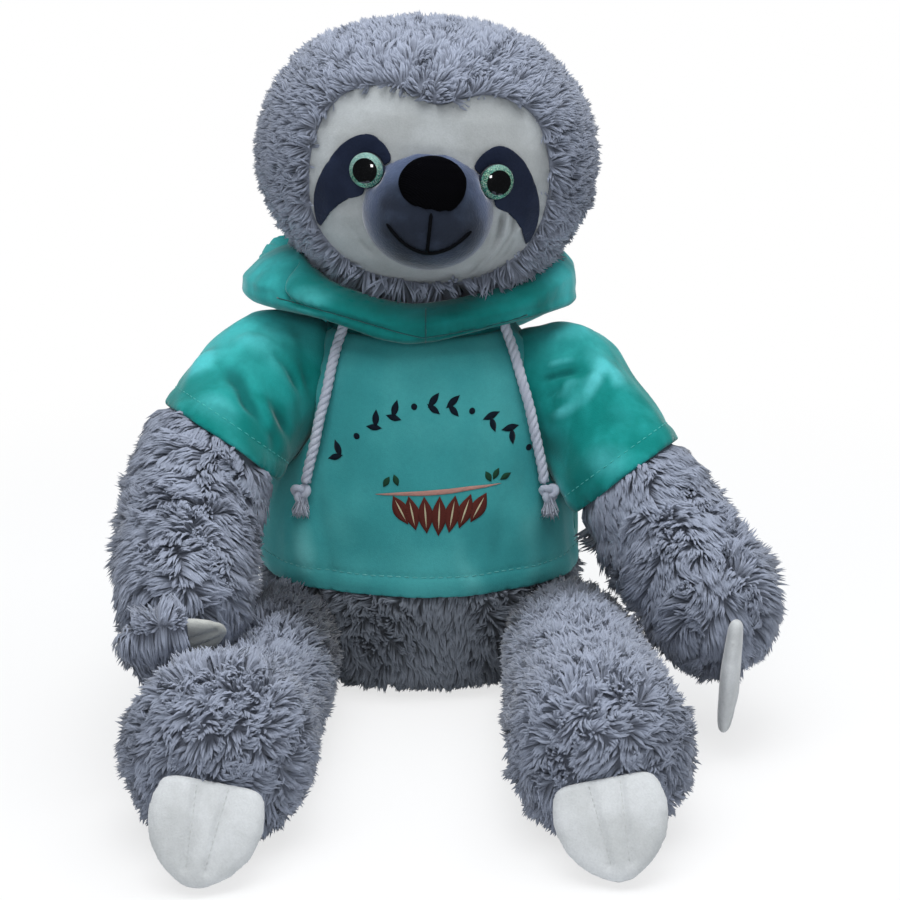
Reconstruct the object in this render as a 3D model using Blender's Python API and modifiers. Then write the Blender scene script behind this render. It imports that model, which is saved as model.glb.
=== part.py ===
"""A long-haired plush sloth in a short hooded top, sitting with its legs stretched forward.

Frame: metres, +Z up. The sloth faces -Y, and its own right side is at -X. The origin is the middle of
the flat seat under its body. Each furred solid is the stuffed form with the thick part of its pile.
"""

import math
from dataclasses import dataclass

import bmesh
import bpy
from mathutils import Matrix, Vector

MM = 0.001
GAP = 0.3 * MM  # between two pieces that touch
CUT_OVER = 6 * MM  # how far a cutter runs past what it cuts
UP = Vector((0, 0, 1))

# Smoothness
STEPS = 3  # rings between two stations of a limb
LIMB_SIDES = 16
ROOM_SIDES = 16
TOE_SIDES = 8
TURN_SIDES = 28
SMALL_TURN_SIDES = 16
HEAD_SEGMENTS = 28
HEAD_RINGS = 16
SMALL_SEGMENTS = 20
SMALL_RINGS = 10
SOCKET_SEGMENTS = 24
SOCKET_RINGS = 12
DOME_ANGLES = tuple(math.radians(a) for a in (24, 48, 70))

# Body: a turned pear, flatter from front to back, that rests on a flat seat
BODY_HALF_WIDTH = 82.5 * MM
BODY_DEPTH_SHARE = 0.86
BODY_MIDDLE = -10 * MM
NECK_TOP = 208.5 * MM
BODY_SHARES = (  # height as a share of the neck's top, then radius as a share of the half width
    (0.0, 0.62),
    (0.02, 0.76),
    (0.10, 0.93),
    (0.21, 0.99),
    (0.31, 1.0),
    (0.48, 0.965),
    (0.67, 0.87),
    (0.80, 0.775),
    (0.88, 0.665),
    (0.925, 0.53),
    (0.96, 0.46),
    (1.0, 0.43),
)

# Hooded top
CLOTH = 2.8 * MM
CLOTH_CLEARANCE = 0.6 * MM
HEM_HEIGHT = 60 * MM
HEM_FLARE = 1.4 * MM
HEM_BAND = 11 * MM
HEM_FOLD = 0.8 * MM  # how far the turned-up hem stands out
NECKLINE_DROP = 17.5 * MM  # below the top of the neck
NECKLINE_HEIGHT = NECK_TOP - NECKLINE_DROP
SIDE_SEAM = -22 * MM  # the front panel ends here, just ahead of the arms' middle

# Hood: laid down round the neck, deep at the back and a little askew
HOOD_SIDES = 12
HOOD_STEPS = 3
HOOD_ASIDE = -6 * MM
HEAD_ROOM = 3 * MM  # round the head as it turns
HOOD_HALF_WIDTH = 77.5 * MM
HOOD_FRONT = 48 * MM  # ahead of the body's middle
HOOD_BACK = 70 * MM
HOOD_THICKNESS = 16 * MM
HOOD_DROP = 31 * MM  # half the height of the bag at the back
HOOD_SEAT = 11 * MM  # how far the front of the hood hangs over the neckline
HOOD_BASE = NECKLINE_HEIGHT - HOOD_SEAT
HOOD_RISE = 40 * MM
HOOD_SHARES = (  # all round from the front by the left: turn, half thickness, half height, rise
    (0.0, 1.02, 0.35, 0.51),
    (0.085, 1.0, 0.30, 0.65),
    (0.155, 0.95, 0.35, 0.77),
    (0.25, 0.86, 0.50, 0.83),
    (0.34, 1.05, 0.74, 0.65),
    (0.42, 1.2, 0.92, 0.38),
    (0.5, 1.25, 1.0, 0.20),
    (0.58, 1.2, 0.92, 0.42),
    (0.66, 1.1, 0.76, 0.74),
    (0.75, 1.0, 0.63, 0.98),
    (0.845, 1.0, 0.49, 0.94),
    (0.915, 1.0, 0.30, 0.76),
)

# Drawstrings: each runs down the chest from under the hood to its knot
STRING_DIAMETER = 5.6 * MM
STRING_ROOM = 1.8 * MM
KNOT_RADIUS = 5.2 * MM
TASSEL_LENGTH = 12 * MM
TASSEL_SHARES = ((0.33, 0.0), (0.8, 0.7), (0.7, 1.0))  # the knot's radius, then the tassel's length
STRING_POINTS = 30
RIGHT_STRING_ROUTE = (  # millimetres across, up and off the front of the top
    (-37.5, 200.3, 0),
    (-42, 190, 0),
    (-46, 176, 0),
    (-49.5, 160, 0),
    (-53.2, 145, 0),
    (-56.5, 130, 0.2),
    (-60, 116.5, 1.2),
)
LEFT_STRING_ROUTE = (  # millimetres across, up and off the front of the top
    (42.5, 198.5, 0),
    (48, 187.5, 0),
    (53, 172, 0),
    (57, 156, 0),
    (60.7, 141, 0),
    (63.6, 127, 0.2),
    (66.3, 115, 1.2),
)

# Head: an egg on its side, tilted and turned a little on the neck
HEAD_RISE = 72.5 * MM  # its middle, over the top of the neck
HEAD_CENTRE = Vector((4 * MM, -12 * MM, NECK_TOP + HEAD_RISE))
HEAD_TILT = math.radians(5.5)
HEAD_YAW = math.radians(2.5)
HEAD_HALF_WIDTH = 87.3 * MM
HEAD_HALF_DEPTH = 73 * MM
HEAD_HALF_HEIGHT = 74.5 * MM
FACE_PILE = 7 * MM  # how far the fur stands over the face

# Face panel, in the head's own frame: across, and up from the head's middle
FACE_HALF_WIDTH = 61 * MM
FACE_RISE = 40 * MM
FACE_DROP = 63 * MM
FACE_THICKNESS = 3.2 * MM
FACE_SHARES = (
    (0.0, 0.84),
    (0.20, 0.93),
    (0.46, 1.0),
    (0.80, 0.80),
    (0.97, 0.30),
    (1.0, -0.20),
    (0.90, -0.56),
    (0.62, -0.86),
    (0.30, -0.98),
    (0.0, -1.0),
)

# Eye patches, as shares of their own width and height from the eye
PATCH_WIDTH = 37 * MM
PATCH_HEIGHT = 52 * MM
PATCH_THICKNESS = 1.6 * MM
PATCH_SHARES = (
    (-0.31, 0.14),
    (-0.12, 0.30),
    (0.10, 0.33),
    (0.38, 0.20),
    (0.60, -0.06),
    (0.70, -0.32),
    (0.66, -0.56),
    (0.57, -0.68),
    (0.46, -0.50),
    (0.22, -0.32),
    (-0.10, -0.22),
    (-0.32, -0.06),
)

# Eyes: domed, each on a stem through the face to a washer inside the head
EYE_ACROSS = 32 * MM
EYE_DROP = 0.8 * MM
EYE_RADIUS = 9.2 * MM
EYE_DOME = 5.2 * MM
EYE_RIM = 0.8 * MM
EYE_OUTWARD = math.radians(17)
STEM_RADIUS = 2.6 * MM
STEM_LENGTH = 15 * MM
WASHER_RADIUS = 8.5 * MM
WASHER_THICKNESS = 2 * MM
WASHER_DEPTH = 10.5 * MM  # from the eye's back to the washer

# Muzzle and nose, from the head's middle
MUZZLE_HALF_WIDTH = 34 * MM
MUZZLE_HALF_DEPTH = 37 * MM
MUZZLE_HALF_HEIGHT = 31 * MM
MUZZLE_FORWARD = 59 * MM
MUZZLE_DROP = 19 * MM
NOSE_HALF_WIDTH = 17.5 * MM
NOSE_HALF_DEPTH = 10 * MM
NOSE_HALF_HEIGHT = 14.8 * MM
NOSE_FORWARD = 86 * MM
NOSE_DROP = 2.8 * MM

# Mouth: a smile with a short seam above its middle
MOUTH_THREAD = 1.5 * MM
SMILE_HALF_WIDTH = 20.5 * MM
SMILE_DROP = 17 * MM  # its middle, below the muzzle's middle
SMILE_LIFT = 12 * MM
SEAM_RISE = 20 * MM
MOUTH_POINTS = 14
THREAD_SIDES = 4

# Arms
ARM_RADIUS = 29.5 * MM
SLEEVE_CLEARANCE = 0.5 * MM
SLEEVE_HEM = 10 * MM
PLUG_SHARE = 0.80  # the arm's root inside the armhole, against the sleeve's radius
ARM_RAISE = 50  # degrees, the top of the left shoulder's swing
ARM_RAISE_STEPS = 2
ARM_ROOM = 1.5 * MM  # round the sleeve, wherever it swings

# Legs
LEG_ROOT_RADIUS = 26.5 * MM
THIGH_RADIUS = 32 * MM
HIP_HEIGHT = 31 * MM
HIP_FORWARD = 66 * MM

# Claws: three soft toes in a row
TOE_SPACING_SHARE = 0.55  # of a toe's width
TOE_THICKNESS_SHARE = 0.5
TOE_LENGTH_SHARES = (0.89, 1.0, 0.89)
TOE_ROOT_SHARE = 0.8  # of its width, where it is sewn on
TOE_CLOSE_SHARE = 0.84  # near its tip
TOE_GATHER_SHARE = 0.5  # how close together the tips lie


def millimetres(x, y, z):
    return Vector((x, y, z)) * MM


@dataclass(frozen=True)
class Claws:
    """A pad of three toes: where it is sewn on, which way it lies and its size."""

    root: Vector
    along: Vector  # the way the toes point
    across: Vector  # the way from toe to toe
    toe_half_width: float
    length: float
    slant: float = 0  # how much sooner a toe starts, against how far it lies across

    def place(self):
        """From toes that hang down side by side along X to where they are."""
        up = -self.along.normalized()
        across = (self.across - up * self.across.dot(up)).normalized()
        turned = Matrix((across, up.cross(across), up)).transposed().to_4x4()
        return Matrix.Translation(self.root) @ turned


@dataclass(frozen=True)
class Side:
    """How the arm and the leg of one side lie."""

    name: str
    sign: int
    shoulder: Vector
    sleeve_end: Vector
    wrist: Vector
    hand: Vector
    sleeve_radius: float
    hand_radius: float
    hip_across: float
    thigh: Vector
    shin: Vector
    shin_radius: float
    foot: Vector
    foot_radius: float
    string_route: tuple
    hand_claws: Claws
    foot_claws: Claws


RIGHT = Side(
    name="right",
    sign=-1,
    shoulder=millimetres(-79, -14, 163),
    sleeve_end=millimetres(-104.5, -68, 138),
    wrist=millimetres(-112.5, -114, 114),
    hand=millimetres(-114, -166, 88),
    sleeve_radius=35.5 * MM,
    hand_radius=28 * MM,
    hip_across=76 * MM,
    thigh=millimetres(-79, -120, 33),
    shin=millimetres(-83, -198, 35.5),
    shin_radius=31 * MM,
    foot=millimetres(-90, -243, 40.5),
    foot_radius=41 * MM,
    string_route=RIGHT_STRING_ROUTE,
    hand_claws=Claws(
        root=millimetres(-129.5, -195.6, 70.8),
        along=Vector((0.93, -0.10, 0.30)),
        across=Vector((-0.24, -0.60, 0.76)),
        toe_half_width=9 * MM,
        length=44 * MM,
    ),
    foot_claws=Claws(
        root=millimetres(-89, -288.6, 38),
        along=Vector((-0.17, -0.58, -0.80)),
        across=Vector((0.98, 0, -0.18)),
        toe_half_width=12.7 * MM,
        length=43.5 * MM,
    ),
)
LEFT = Side(
    name="left",
    sign=1,
    shoulder=millimetres(78, -12, 158),
    sleeve_end=millimetres(110, -55, 117),
    wrist=millimetres(130, -86, 91),
    hand=millimetres(149, -119, 67),
    sleeve_radius=33 * MM,
    hand_radius=29 * MM,
    hip_across=78 * MM,
    thigh=millimetres(80, -118, 34),
    shin=millimetres(83, -180, 37),
    shin_radius=34.5 * MM,
    foot=millimetres(85.5, -240, 38.5),
    foot_radius=39 * MM,
    string_route=LEFT_STRING_ROUTE,
    hand_claws=Claws(
        root=millimetres(156.7, -149.7, 53.3),
        along=Vector((-0.12, -0.15, -0.98)),
        across=Vector((-0.18, -0.94, 0.28)),
        toe_half_width=9.6 * MM,
        length=43 * MM,
        slant=1.4,
    ),
    foot_claws=Claws(
        root=millimetres(85, -282.3, 37),
        along=Vector((0.17, -0.58, -0.80)),
        across=Vector((0.98, 0, 0.18)),
        toe_half_width=12.7 * MM,
        length=42.5 * MM,
    ),
)


def start_scene():
    """Clears the scene and makes the two collections."""
    for obj in list(bpy.data.objects):
        bpy.data.objects.remove(obj, do_unlink=True)
    for name in ("plush_sloth", "cutters"):
        bpy.context.scene.collection.children.link(bpy.data.collections.new(name))


def material(name, colour, roughness=0.9):
    found = bpy.data.materials.get(name)
    if found:
        return found
    made = bpy.data.materials.new(name)
    made.use_nodes = True
    shader = made.node_tree.nodes["Principled BSDF"]
    shader.inputs["Base Color"].default_value = (*colour, 1)
    shader.inputs["Roughness"].default_value = roughness
    shader.inputs["Metallic"].default_value = 0
    made.diffuse_color = (*colour, 1)
    return made


def long_fur():
    return material("long_fur", (0.17, 0.19, 0.25))


def cream_plush():
    return material("cream_plush", (0.72, 0.71, 0.62))


def slate_plush():
    return material("slate_plush", (0.06, 0.08, 0.13))


def black_cloth():
    return material("black_cloth", (0.008, 0.008, 0.012), 0.6)


def mint_velour():
    return material("mint_velour", (0.10, 0.52, 0.42))


def teal_velour():
    return material("teal_velour", (0.04, 0.40, 0.32))


def white_cord():
    return material("white_cord", (0.70, 0.72, 0.74))


def eye_plastic():
    return material("eye_plastic", (0.02, 0.16, 0.12), 0.12)


def washer_plastic():
    return material("washer_plastic", (0.75, 0.75, 0.73), 0.4)


def piece(name, mesh, finish):
    """A visible piece, with its own material."""
    obj = bpy.data.objects.new(name, mesh)
    mesh.materials.append(finish)
    mesh.shade_smooth()
    bpy.data.collections["plush_sloth"].objects.link(obj)
    return obj


def helper(name, mesh):
    """A cutter, or a shape that is joined into a piece."""
    obj = bpy.data.objects.new(name, mesh)
    obj.hide_render = True
    obj.display_type = "WIRE"
    bpy.data.collections["cutters"].objects.link(obj)
    return obj


def combine(obj, other, operation):
    """Adds a Boolean: DIFFERENCE, UNION or INTERSECT."""
    made = obj.modifiers.new(f"{operation.lower()} {other.name}", "BOOLEAN")
    made.operation = operation
    made.object = other


def smooth(points, steps=STEPS, closed=False):
    """Points on a smooth curve through the given ones, which may hold any number of values."""
    count = len(points)
    spans = count if closed else count - 1

    def at(i):
        if closed:
            return points[i % count]
        if i < 0:
            return tuple(2 * a - b for a, b in zip(points[0], points[1]))
        if i >= count:
            return tuple(2 * a - b for a, b in zip(points[-1], points[-2]))
        return points[i]

    made = []
    for i in range(spans):
        before, start, end, after = at(i - 1), at(i), at(i + 1), at(i + 2)
        for step in range(steps):
            t = step / steps
            made.append(
                tuple(
                    b + 0.5 * t * (c - a + t * (2 * a - 5 * b + 4 * c - d + t * (3 * (b - c) + d - a)))
                    for a, b, c, d in zip(before, start, end, after)
                )
            )
    if not closed:
        made.append(tuple(points[-1]))
    return made


def mesh_of(name, bm):
    """A mesh of the finished bmesh, with its faces pointing out."""
    bmesh.ops.recalc_face_normals(bm, faces=bm.faces)
    mesh = bpy.data.meshes.new(name)
    bm.to_mesh(mesh)
    bm.free()
    return mesh


def ellipsoid(name, half_width, half_depth, half_height, segments=SMALL_SEGMENTS, rings=SMALL_RINGS):
    """A stretched ball about the origin."""
    bm = bmesh.new()
    stretch = Matrix.Diagonal((half_width, half_depth, half_height, 1))
    bmesh.ops.create_uvsphere(bm, u_segments=segments, v_segments=rings, radius=1, matrix=stretch)
    return mesh_of(name, bm)


def cylinder(name, radius, length, segments=SMALL_SEGMENTS):
    """A cylinder from the origin along +Z."""
    bm = bmesh.new()
    middle = Matrix.Translation((0, 0, length / 2))
    bmesh.ops.create_cone(
        bm, cap_ends=True, segments=segments, radius1=radius, radius2=radius, depth=length, matrix=middle
    )
    return mesh_of(name, bm)


def box(name, low, high):
    """A block between two corners."""
    bm = bmesh.new()
    low, high = Vector(low), Vector(high)
    place = Matrix.Translation((low + high) / 2) @ Matrix.Diagonal((*(high - low), 1))
    bmesh.ops.create_cube(bm, size=1, matrix=place)
    return mesh_of(name, bm)


def prism(name, outline, half_depth):
    """A flat outline across and up, given its depth along Y by a filled curve."""
    curve = bpy.data.curves.new(name, "CURVE")
    curve.dimensions = "2D"
    curve.fill_mode = "BOTH"
    curve.extrude = half_depth
    spline = curve.splines.new("POLY")
    spline.points.add(len(outline) - 1)
    for point, (across, up) in zip(spline.points, outline):
        point.co = (across, up, 0, 1)
    spline.use_cyclic_u = True
    drawn = bpy.data.objects.new(name, curve)
    bpy.context.scene.collection.objects.link(drawn)
    graph = bpy.context.evaluated_depsgraph_get()
    bm = bmesh.new()
    bm.from_mesh(bpy.data.meshes.new_from_object(drawn.evaluated_get(graph)))
    bpy.data.objects.remove(drawn)
    bmesh.ops.remove_doubles(bm, verts=bm.verts, dist=GAP / 10)
    bmesh.ops.transform(bm, matrix=Matrix.Rotation(math.pi / 2, 4, "X"), verts=bm.verts)
    return mesh_of(name, bm)


def turn(obj, steps=TURN_SIDES):
    """Spins the object's profile once about its own Z."""
    screw = obj.modifiers.new("turn", "SCREW")
    screw.axis = "Z"
    screw.steps = steps
    screw.render_steps = steps
    screw.use_merge_vertices = True
    screw.merge_threshold = MM / 100
    screw.use_smooth_shade = True


def profile(name, points, closed=False):
    """A line of (radius, height) points, running down its outer side."""
    mesh = bpy.data.meshes.new(name)
    edges = [(i, i + 1) for i in range(len(points) - 1)]
    if closed:
        edges.append((len(points) - 1, 0))
    mesh.from_pydata([(radius, 0, height) for radius, height in points], edges, [])
    return mesh


@dataclass(frozen=True)
class Ring:
    """One section of a loft: an ellipse square to the way it runs."""

    centre: Vector
    along: Vector
    half_across: float
    half_through: float


def loft(name, rings, across, sides=LIMB_SIDES, closed=False):
    """Skins the rings in order; across is the way each section's half_across lies."""
    bm = bmesh.new()
    loops = []
    for ring in rings:
        z = ring.along.normalized()
        x = (across - z * across.dot(z)).normalized()
        axes = Matrix((x * ring.half_across, z.cross(x) * ring.half_through, z)).transposed().to_4x4()
        circle = bmesh.ops.create_circle(
            bm, cap_ends=False, segments=sides, radius=1, matrix=Matrix.Translation(ring.centre) @ axes
        )
        corners = circle["verts"]
        loops.append([bm.edges.get((corners[i - 1], corners[i])) for i in range(sides)])
    pairs = list(zip(loops, loops[1:]))
    if closed:
        pairs.append((loops[-1], loops[0]))
    for one, other in pairs:
        bmesh.ops.bridge_loops(bm, edges=one + other)
    if not closed:
        bmesh.ops.edgeloop_fill(bm, edges=loops[0])
        bmesh.ops.edgeloop_fill(bm, edges=loops[-1])
    return mesh_of(name, bm)


def dome(ring, outward, height):
    """Rings that round off an end."""
    return [
        Ring(
            ring.centre + outward * height * math.sin(angle),
            ring.along,
            ring.half_across * math.cos(angle),
            ring.half_through * math.cos(angle),
        )
        for angle in DOME_ANGLES
    ]


def limb_rings(stations, steps=STEPS, root_dome=True, tip_dome=True, thickness_share=1.0):
    """Rings along a smooth route through the stations, each a centre and a radius."""
    samples = smooth([(*centre, radius) for centre, radius in stations], steps)
    centres = [Vector(sample[:3]) for sample in samples]
    last = len(samples) - 1
    rings = []
    for i, sample in enumerate(samples):
        along = (centres[min(i + 1, last)] - centres[max(i - 1, 0)]).normalized()
        rings.append(Ring(centres[i], along, sample[3], sample[3] * thickness_share))
    if root_dome:
        rings = dome(rings[0], -rings[0].along, rings[0].half_through)[::-1] + rings
    if tip_dome:
        rings = rings + dome(rings[-1], rings[-1].along, rings[-1].half_across)
    return rings


def along_x(side, start):
    """Turns a shape that runs up +Z so that it runs outwards from start along the side's X."""
    outwards = Matrix.Rotation(math.copysign(math.pi / 2, side.sign), 4, "Y")
    return Matrix.Translation(start) @ outwards


BODY_CURVE = smooth([(h * NECK_TOP, r * BODY_HALF_WIDTH) for h, r in BODY_SHARES], 2)


def body_radius(height):
    """The body's half width at a height, on its smooth profile."""
    for (low, r_low), (high, r_high) in zip(BODY_CURVE, BODY_CURVE[1:]):
        if low <= height <= high:
            return r_low + (r_high - r_low) * (height - low) / (high - low)
    return BODY_CURVE[-1][1]


def garment_line(offset):
    """(radius, height) points of the top's wall, from the neckline down to the hem."""
    heights = [h for h, _ in BODY_CURVE if HEM_HEIGHT < h < NECKLINE_HEIGHT]
    heights = [NECKLINE_HEIGHT, *reversed(heights), HEM_HEIGHT + HEM_BAND, HEM_HEIGHT]
    heights = sorted(set(heights), reverse=True)
    drop = NECKLINE_HEIGHT - HEM_HEIGHT
    return [
        (body_radius(h) + offset + HEM_FLARE * ((NECKLINE_HEIGHT - h) / drop) ** 4, h) for h in heights
    ]


def flatten(obj):
    """Makes a turned form as deep as the body is, about the body's middle."""
    obj.scale = (1, BODY_DEPTH_SHARE, 1)
    obj.location = (0, BODY_MIDDLE, 0)
    return obj


def arm_stations(side, root_radius, wrist_radius):
    """The arm's route from the shoulder to the wrist."""
    return [(side.shoulder, root_radius), (side.sleeve_end, root_radius), (side.wrist, wrist_radius)]


def shoulder_ball(name, side, grow):
    """A ball about the shoulder with its poles on the axis that the arm swings about."""
    radius = side.sleeve_radius + grow
    mesh = ellipsoid(name, radius, radius, radius, SOCKET_SEGMENTS, SOCKET_RINGS)
    mesh.transform(Matrix.Translation(side.shoulder) @ Matrix.Rotation(math.pi / 2, 4, "Y"))
    return mesh


def armhole_cutter(side):
    """The room in which the sleeve swings, which is the sleeve in each of a few places."""
    stations = arm_stations(side, side.sleeve_radius + ARM_ROOM, ARM_RADIUS + ARM_ROOM)
    form = loft("armhole_room", limb_rings(stations, steps=1, root_dome=False), UP, ROOM_SIDES)
    room = helper(f"armhole_room_{side.name}", form)
    for step in range(1, ARM_RAISE_STEPS + 1):
        raised = helper(f"armhole_room_{side.name}_{step}", form)
        swing = Matrix.Rotation(-math.radians(ARM_RAISE * step / ARM_RAISE_STEPS), 4, "X")
        raised.matrix_world = Matrix.Translation(side.shoulder) @ swing @ Matrix.Translation(-side.shoulder)
        combine(room, raised, "UNION")
    ball = helper(f"armhole_ball_{side.name}", shoulder_ball("armhole_ball", side, ARM_ROOM))
    combine(room, ball, "UNION")
    return room


def hip_cutters(side):
    """The rolled socket of the leg's root, and the room in which the leg swings down."""
    radius = LEG_ROOT_RADIUS + GAP
    inner = side.hip_across - radius
    hip = Vector((side.sign * inner, -HIP_FORWARD, HIP_HEIGHT))
    roll = helper(f"hip_roll_{side.name}", cylinder("hip_roll", radius, BODY_HALF_WIDTH, TURN_SIDES))
    roll.matrix_world = along_x(side, hip)
    corners = (side.sign * inner, side.sign * BODY_HALF_WIDTH * 2)
    low = (min(corners), -HIP_FORWARD - BODY_HALF_WIDTH, -CUT_OVER)
    high = (max(corners), -HIP_FORWARD + radius, HIP_HEIGHT)
    return [roll, helper(f"hip_swing_{side.name}", box("hip_swing", low, high))]


def make_body():
    """The stuffed body and the two panels of the top over it."""
    points = [(0, NECK_TOP)] + [(r, h) for h, r in reversed(BODY_CURVE)] + [(0, 0)]
    torso = flatten(piece("torso", profile("torso", points), long_fur()))
    turn(torso)

    inner, outer = garment_line(CLOTH_CLEARANCE), garment_line(CLOTH_CLEARANCE + CLOTH)
    outer = [(r + (HEM_FOLD if h <= HEM_HEIGHT + HEM_BAND else 0), h) for r, h in outer]
    wall = outer + inner[::-1]
    panels = []
    far = 2 * BODY_HALF_WIDTH
    for name, finish, cut in (
        ("hoodie_front_panel", mint_velour(), (SIDE_SEAM, far)),
        ("hoodie_back_panel", teal_velour(), (-far, SIDE_SEAM + GAP)),
    ):
        panel = flatten(piece(name, profile(name, wall, closed=True), finish))
        turn(panel)
        half = helper(f"{name}_side", box("half", (-far, cut[0], -CUT_OVER), (far, cut[1], 2 * NECK_TOP)))
        combine(panel, half, "DIFFERENCE")
        panels.append(panel)

    for side in (RIGHT, LEFT):
        room = armhole_cutter(side)
        for obj in (torso, *panels):
            combine(obj, room, "DIFFERENCE")
        for other in hip_cutters(side):
            combine(torso, other, "DIFFERENCE")


def make_hood():
    """The hood, a ring of unlike sections that sits down over the neckline."""
    sections = []
    for share, thick, high, rise in HOOD_SHARES:
        angle = 2 * math.pi * share
        forward = HOOD_FRONT if math.cos(angle) > 0 else HOOD_BACK
        across = HOOD_ASIDE + math.sin(angle) * HOOD_HALF_WIDTH
        deep = BODY_MIDDLE - math.cos(angle) * forward
        height = HOOD_BASE + rise * HOOD_RISE
        sections.append((across, deep, height, high * HOOD_DROP, thick * HOOD_THICKNESS))
    samples = smooth(sections, HOOD_STEPS, closed=True)
    rings = []
    for i, (*centre, high, thick) in enumerate(samples):
        after = Vector(samples[(i + 1) % len(samples)][:2])
        along = (after - Vector(samples[i - 1][:2])).to_3d()
        rings.append(Ring(Vector(centre), along, high, thick))
    hood = piece("hood", loft("hood", rings, UP, sides=HOOD_SIDES, closed=True), teal_velour())
    line = garment_line(CLOTH_CLEARANCE + CLOTH + GAP)
    neck = [(r + CLOTH_CLEARANCE, h) for h, r in reversed(BODY_CURVE) if h > NECKLINE_HEIGHT]
    top = NECK_TOP + CUT_OVER
    shoulder = (line[0][0], NECKLINE_HEIGHT + GAP)
    points = [(0, top), (neck[0][0], top), *neck, shoulder, *line[1:], (0, HEM_HEIGHT)]
    room = flatten(helper("hood_seat", profile("hood_seat", points)))
    turn(room)
    combine(hood, room, "DIFFERENCE")
    wide, high = HEAD_HALF_WIDTH + HEAD_ROOM, HEAD_HALF_HEIGHT + HEAD_ROOM
    room = helper("head_room", ellipsoid("head_room", wide, wide, high, HEAD_SEGMENTS, HEAD_RINGS))
    room.location = HEAD_CENTRE
    combine(hood, room, "DIFFERENCE")
    for side in (RIGHT, LEFT):
        radius = side.sleeve_radius + CLOTH_CLEARANCE
        room = helper(f"shoulder_room_{side.name}", ellipsoid("shoulder_room", radius, radius, radius))
        room.location = side.shoulder
        combine(hood, room, "DIFFERENCE")


def on_front(across, up, lift):
    """The middle of a string that lies on the front of the top."""
    clear = CLOTH_CLEARANCE + CLOTH + STRING_DIAMETER / 2 + STRING_ROOM + lift
    radius = body_radius(min(up, NECKLINE_HEIGHT)) + clear
    return (across, BODY_MIDDLE - BODY_DEPTH_SHARE * math.sqrt(radius * radius - across * across), up)


def make_drawstring(side):
    """A soft cord down the chest, and the knot with its frayed end."""
    route = [tuple(value * MM for value in point) for point in side.string_route]
    steps = math.ceil(STRING_POINTS / (len(route) - 1))
    points = [on_front(*point) for point in smooth(route, steps)]
    curve = bpy.data.curves.new(f"drawstring_{side.name}", "CURVE")
    curve.dimensions = "3D"
    curve.bevel_depth = STRING_DIAMETER / 2
    curve.bevel_resolution = 2
    curve.use_fill_caps = True
    spline = curve.splines.new("POLY")
    spline.points.add(len(points) - 1)
    for place, point in zip(spline.points, points):
        place.co = (*point, 1)
    curve.materials.append(white_cord())
    obj = bpy.data.objects.new(f"drawstring_{side.name}", curve)
    bpy.data.collections["plush_sloth"].objects.link(obj)

    end, before = Vector(points[-1]), Vector(points[-2])
    down = (end - before).normalized()
    knot_height = 1.5 * KNOT_RADIUS
    knot = [
        (KNOT_RADIUS * math.sin(a), knot_height / 2 * (1 + math.cos(a)))
        for a in [math.radians(d) for d in range(0, 150, 24)]
    ]
    tassel = [(r * KNOT_RADIUS, -h * TASSEL_LENGTH) for r, h in TASSEL_SHARES]
    points = knot + tassel + [(0, -TASSEL_LENGTH)]
    obj = piece(f"drawstring_knot_{side.name}", profile("drawstring_knot", points), white_cord())
    turn(obj, SMALL_TURN_SIDES)
    obj.location = end + down * (GAP + knot_height)
    obj.rotation_euler = (-down).to_track_quat("Z", "Y").to_euler()


def limb(name, rings, finish):
    return piece(name, loft(name, rings, UP), finish)


def make_arm(side):
    """The arm, domed at the shoulder and rounded at the hand, and the sleeve over its upper half."""
    inside = side.sleeve_radius - CLOTH - SLEEVE_CLEARANCE
    stations = [
        (side.shoulder, inside),
        (side.sleeve_end, inside),
        (side.wrist, ARM_RADIUS),
        (side.hand, side.hand_radius),
    ]
    arm = limb(f"arm_{side.name}", limb_rings(stations), long_fur())

    # The root that is sewn into the armhole: a ball's cap, no wider than the hole
    ball = helper(f"arm_root_{side.name}", shoulder_ball("arm_root", side, ARM_ROOM - GAP))
    plug_radius = side.sleeve_radius * PLUG_SHARE
    reach = side.sleeve_radius * 2
    core = helper(f"arm_root_core_{side.name}", cylinder("arm_root_core", plug_radius, reach))
    core.matrix_world = along_x(side, side.shoulder - Vector((side.sign * reach, 0, 0)))
    combine(ball, core, "INTERSECT")
    combine(arm, ball, "UNION")

    ends = [(side.shoulder, side.sleeve_radius), (side.sleeve_end, side.sleeve_radius)]
    route = limb_rings(ends, steps=2 * STEPS, tip_dome=False)
    hem = route[-1]
    folded = Ring(hem.centre, hem.along, hem.half_across + HEM_FOLD, hem.half_through + HEM_FOLD)
    start = Ring(hem.centre - hem.along * SLEEVE_HEM, hem.along, folded.half_across, folded.half_through)
    before = Ring(start.centre - hem.along * HEM_FOLD, hem.along, hem.half_across, hem.half_through)
    kept = [ring for ring in route if (ring.centre - before.centre).dot(hem.along) < -HEM_FOLD]
    sleeve = limb(f"sleeve_{side.name}", [*kept, before, start, folded], teal_velour())
    hollow_stations = [(centre, radius + SLEEVE_CLEARANCE) for centre, radius in stations]
    hollow = helper(f"sleeve_hollow_{side.name}", loft("sleeve_hollow", limb_rings(hollow_stations), UP))
    combine(sleeve, hollow, "DIFFERENCE")
    hole = helper(f"sleeve_hole_{side.name}", cylinder("sleeve_hole", plug_radius + GAP, reach))
    hole.matrix_world = along_x(side, side.shoulder - Vector((side.sign * reach, 0, 0)))
    combine(sleeve, hole, "DIFFERENCE")


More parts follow.
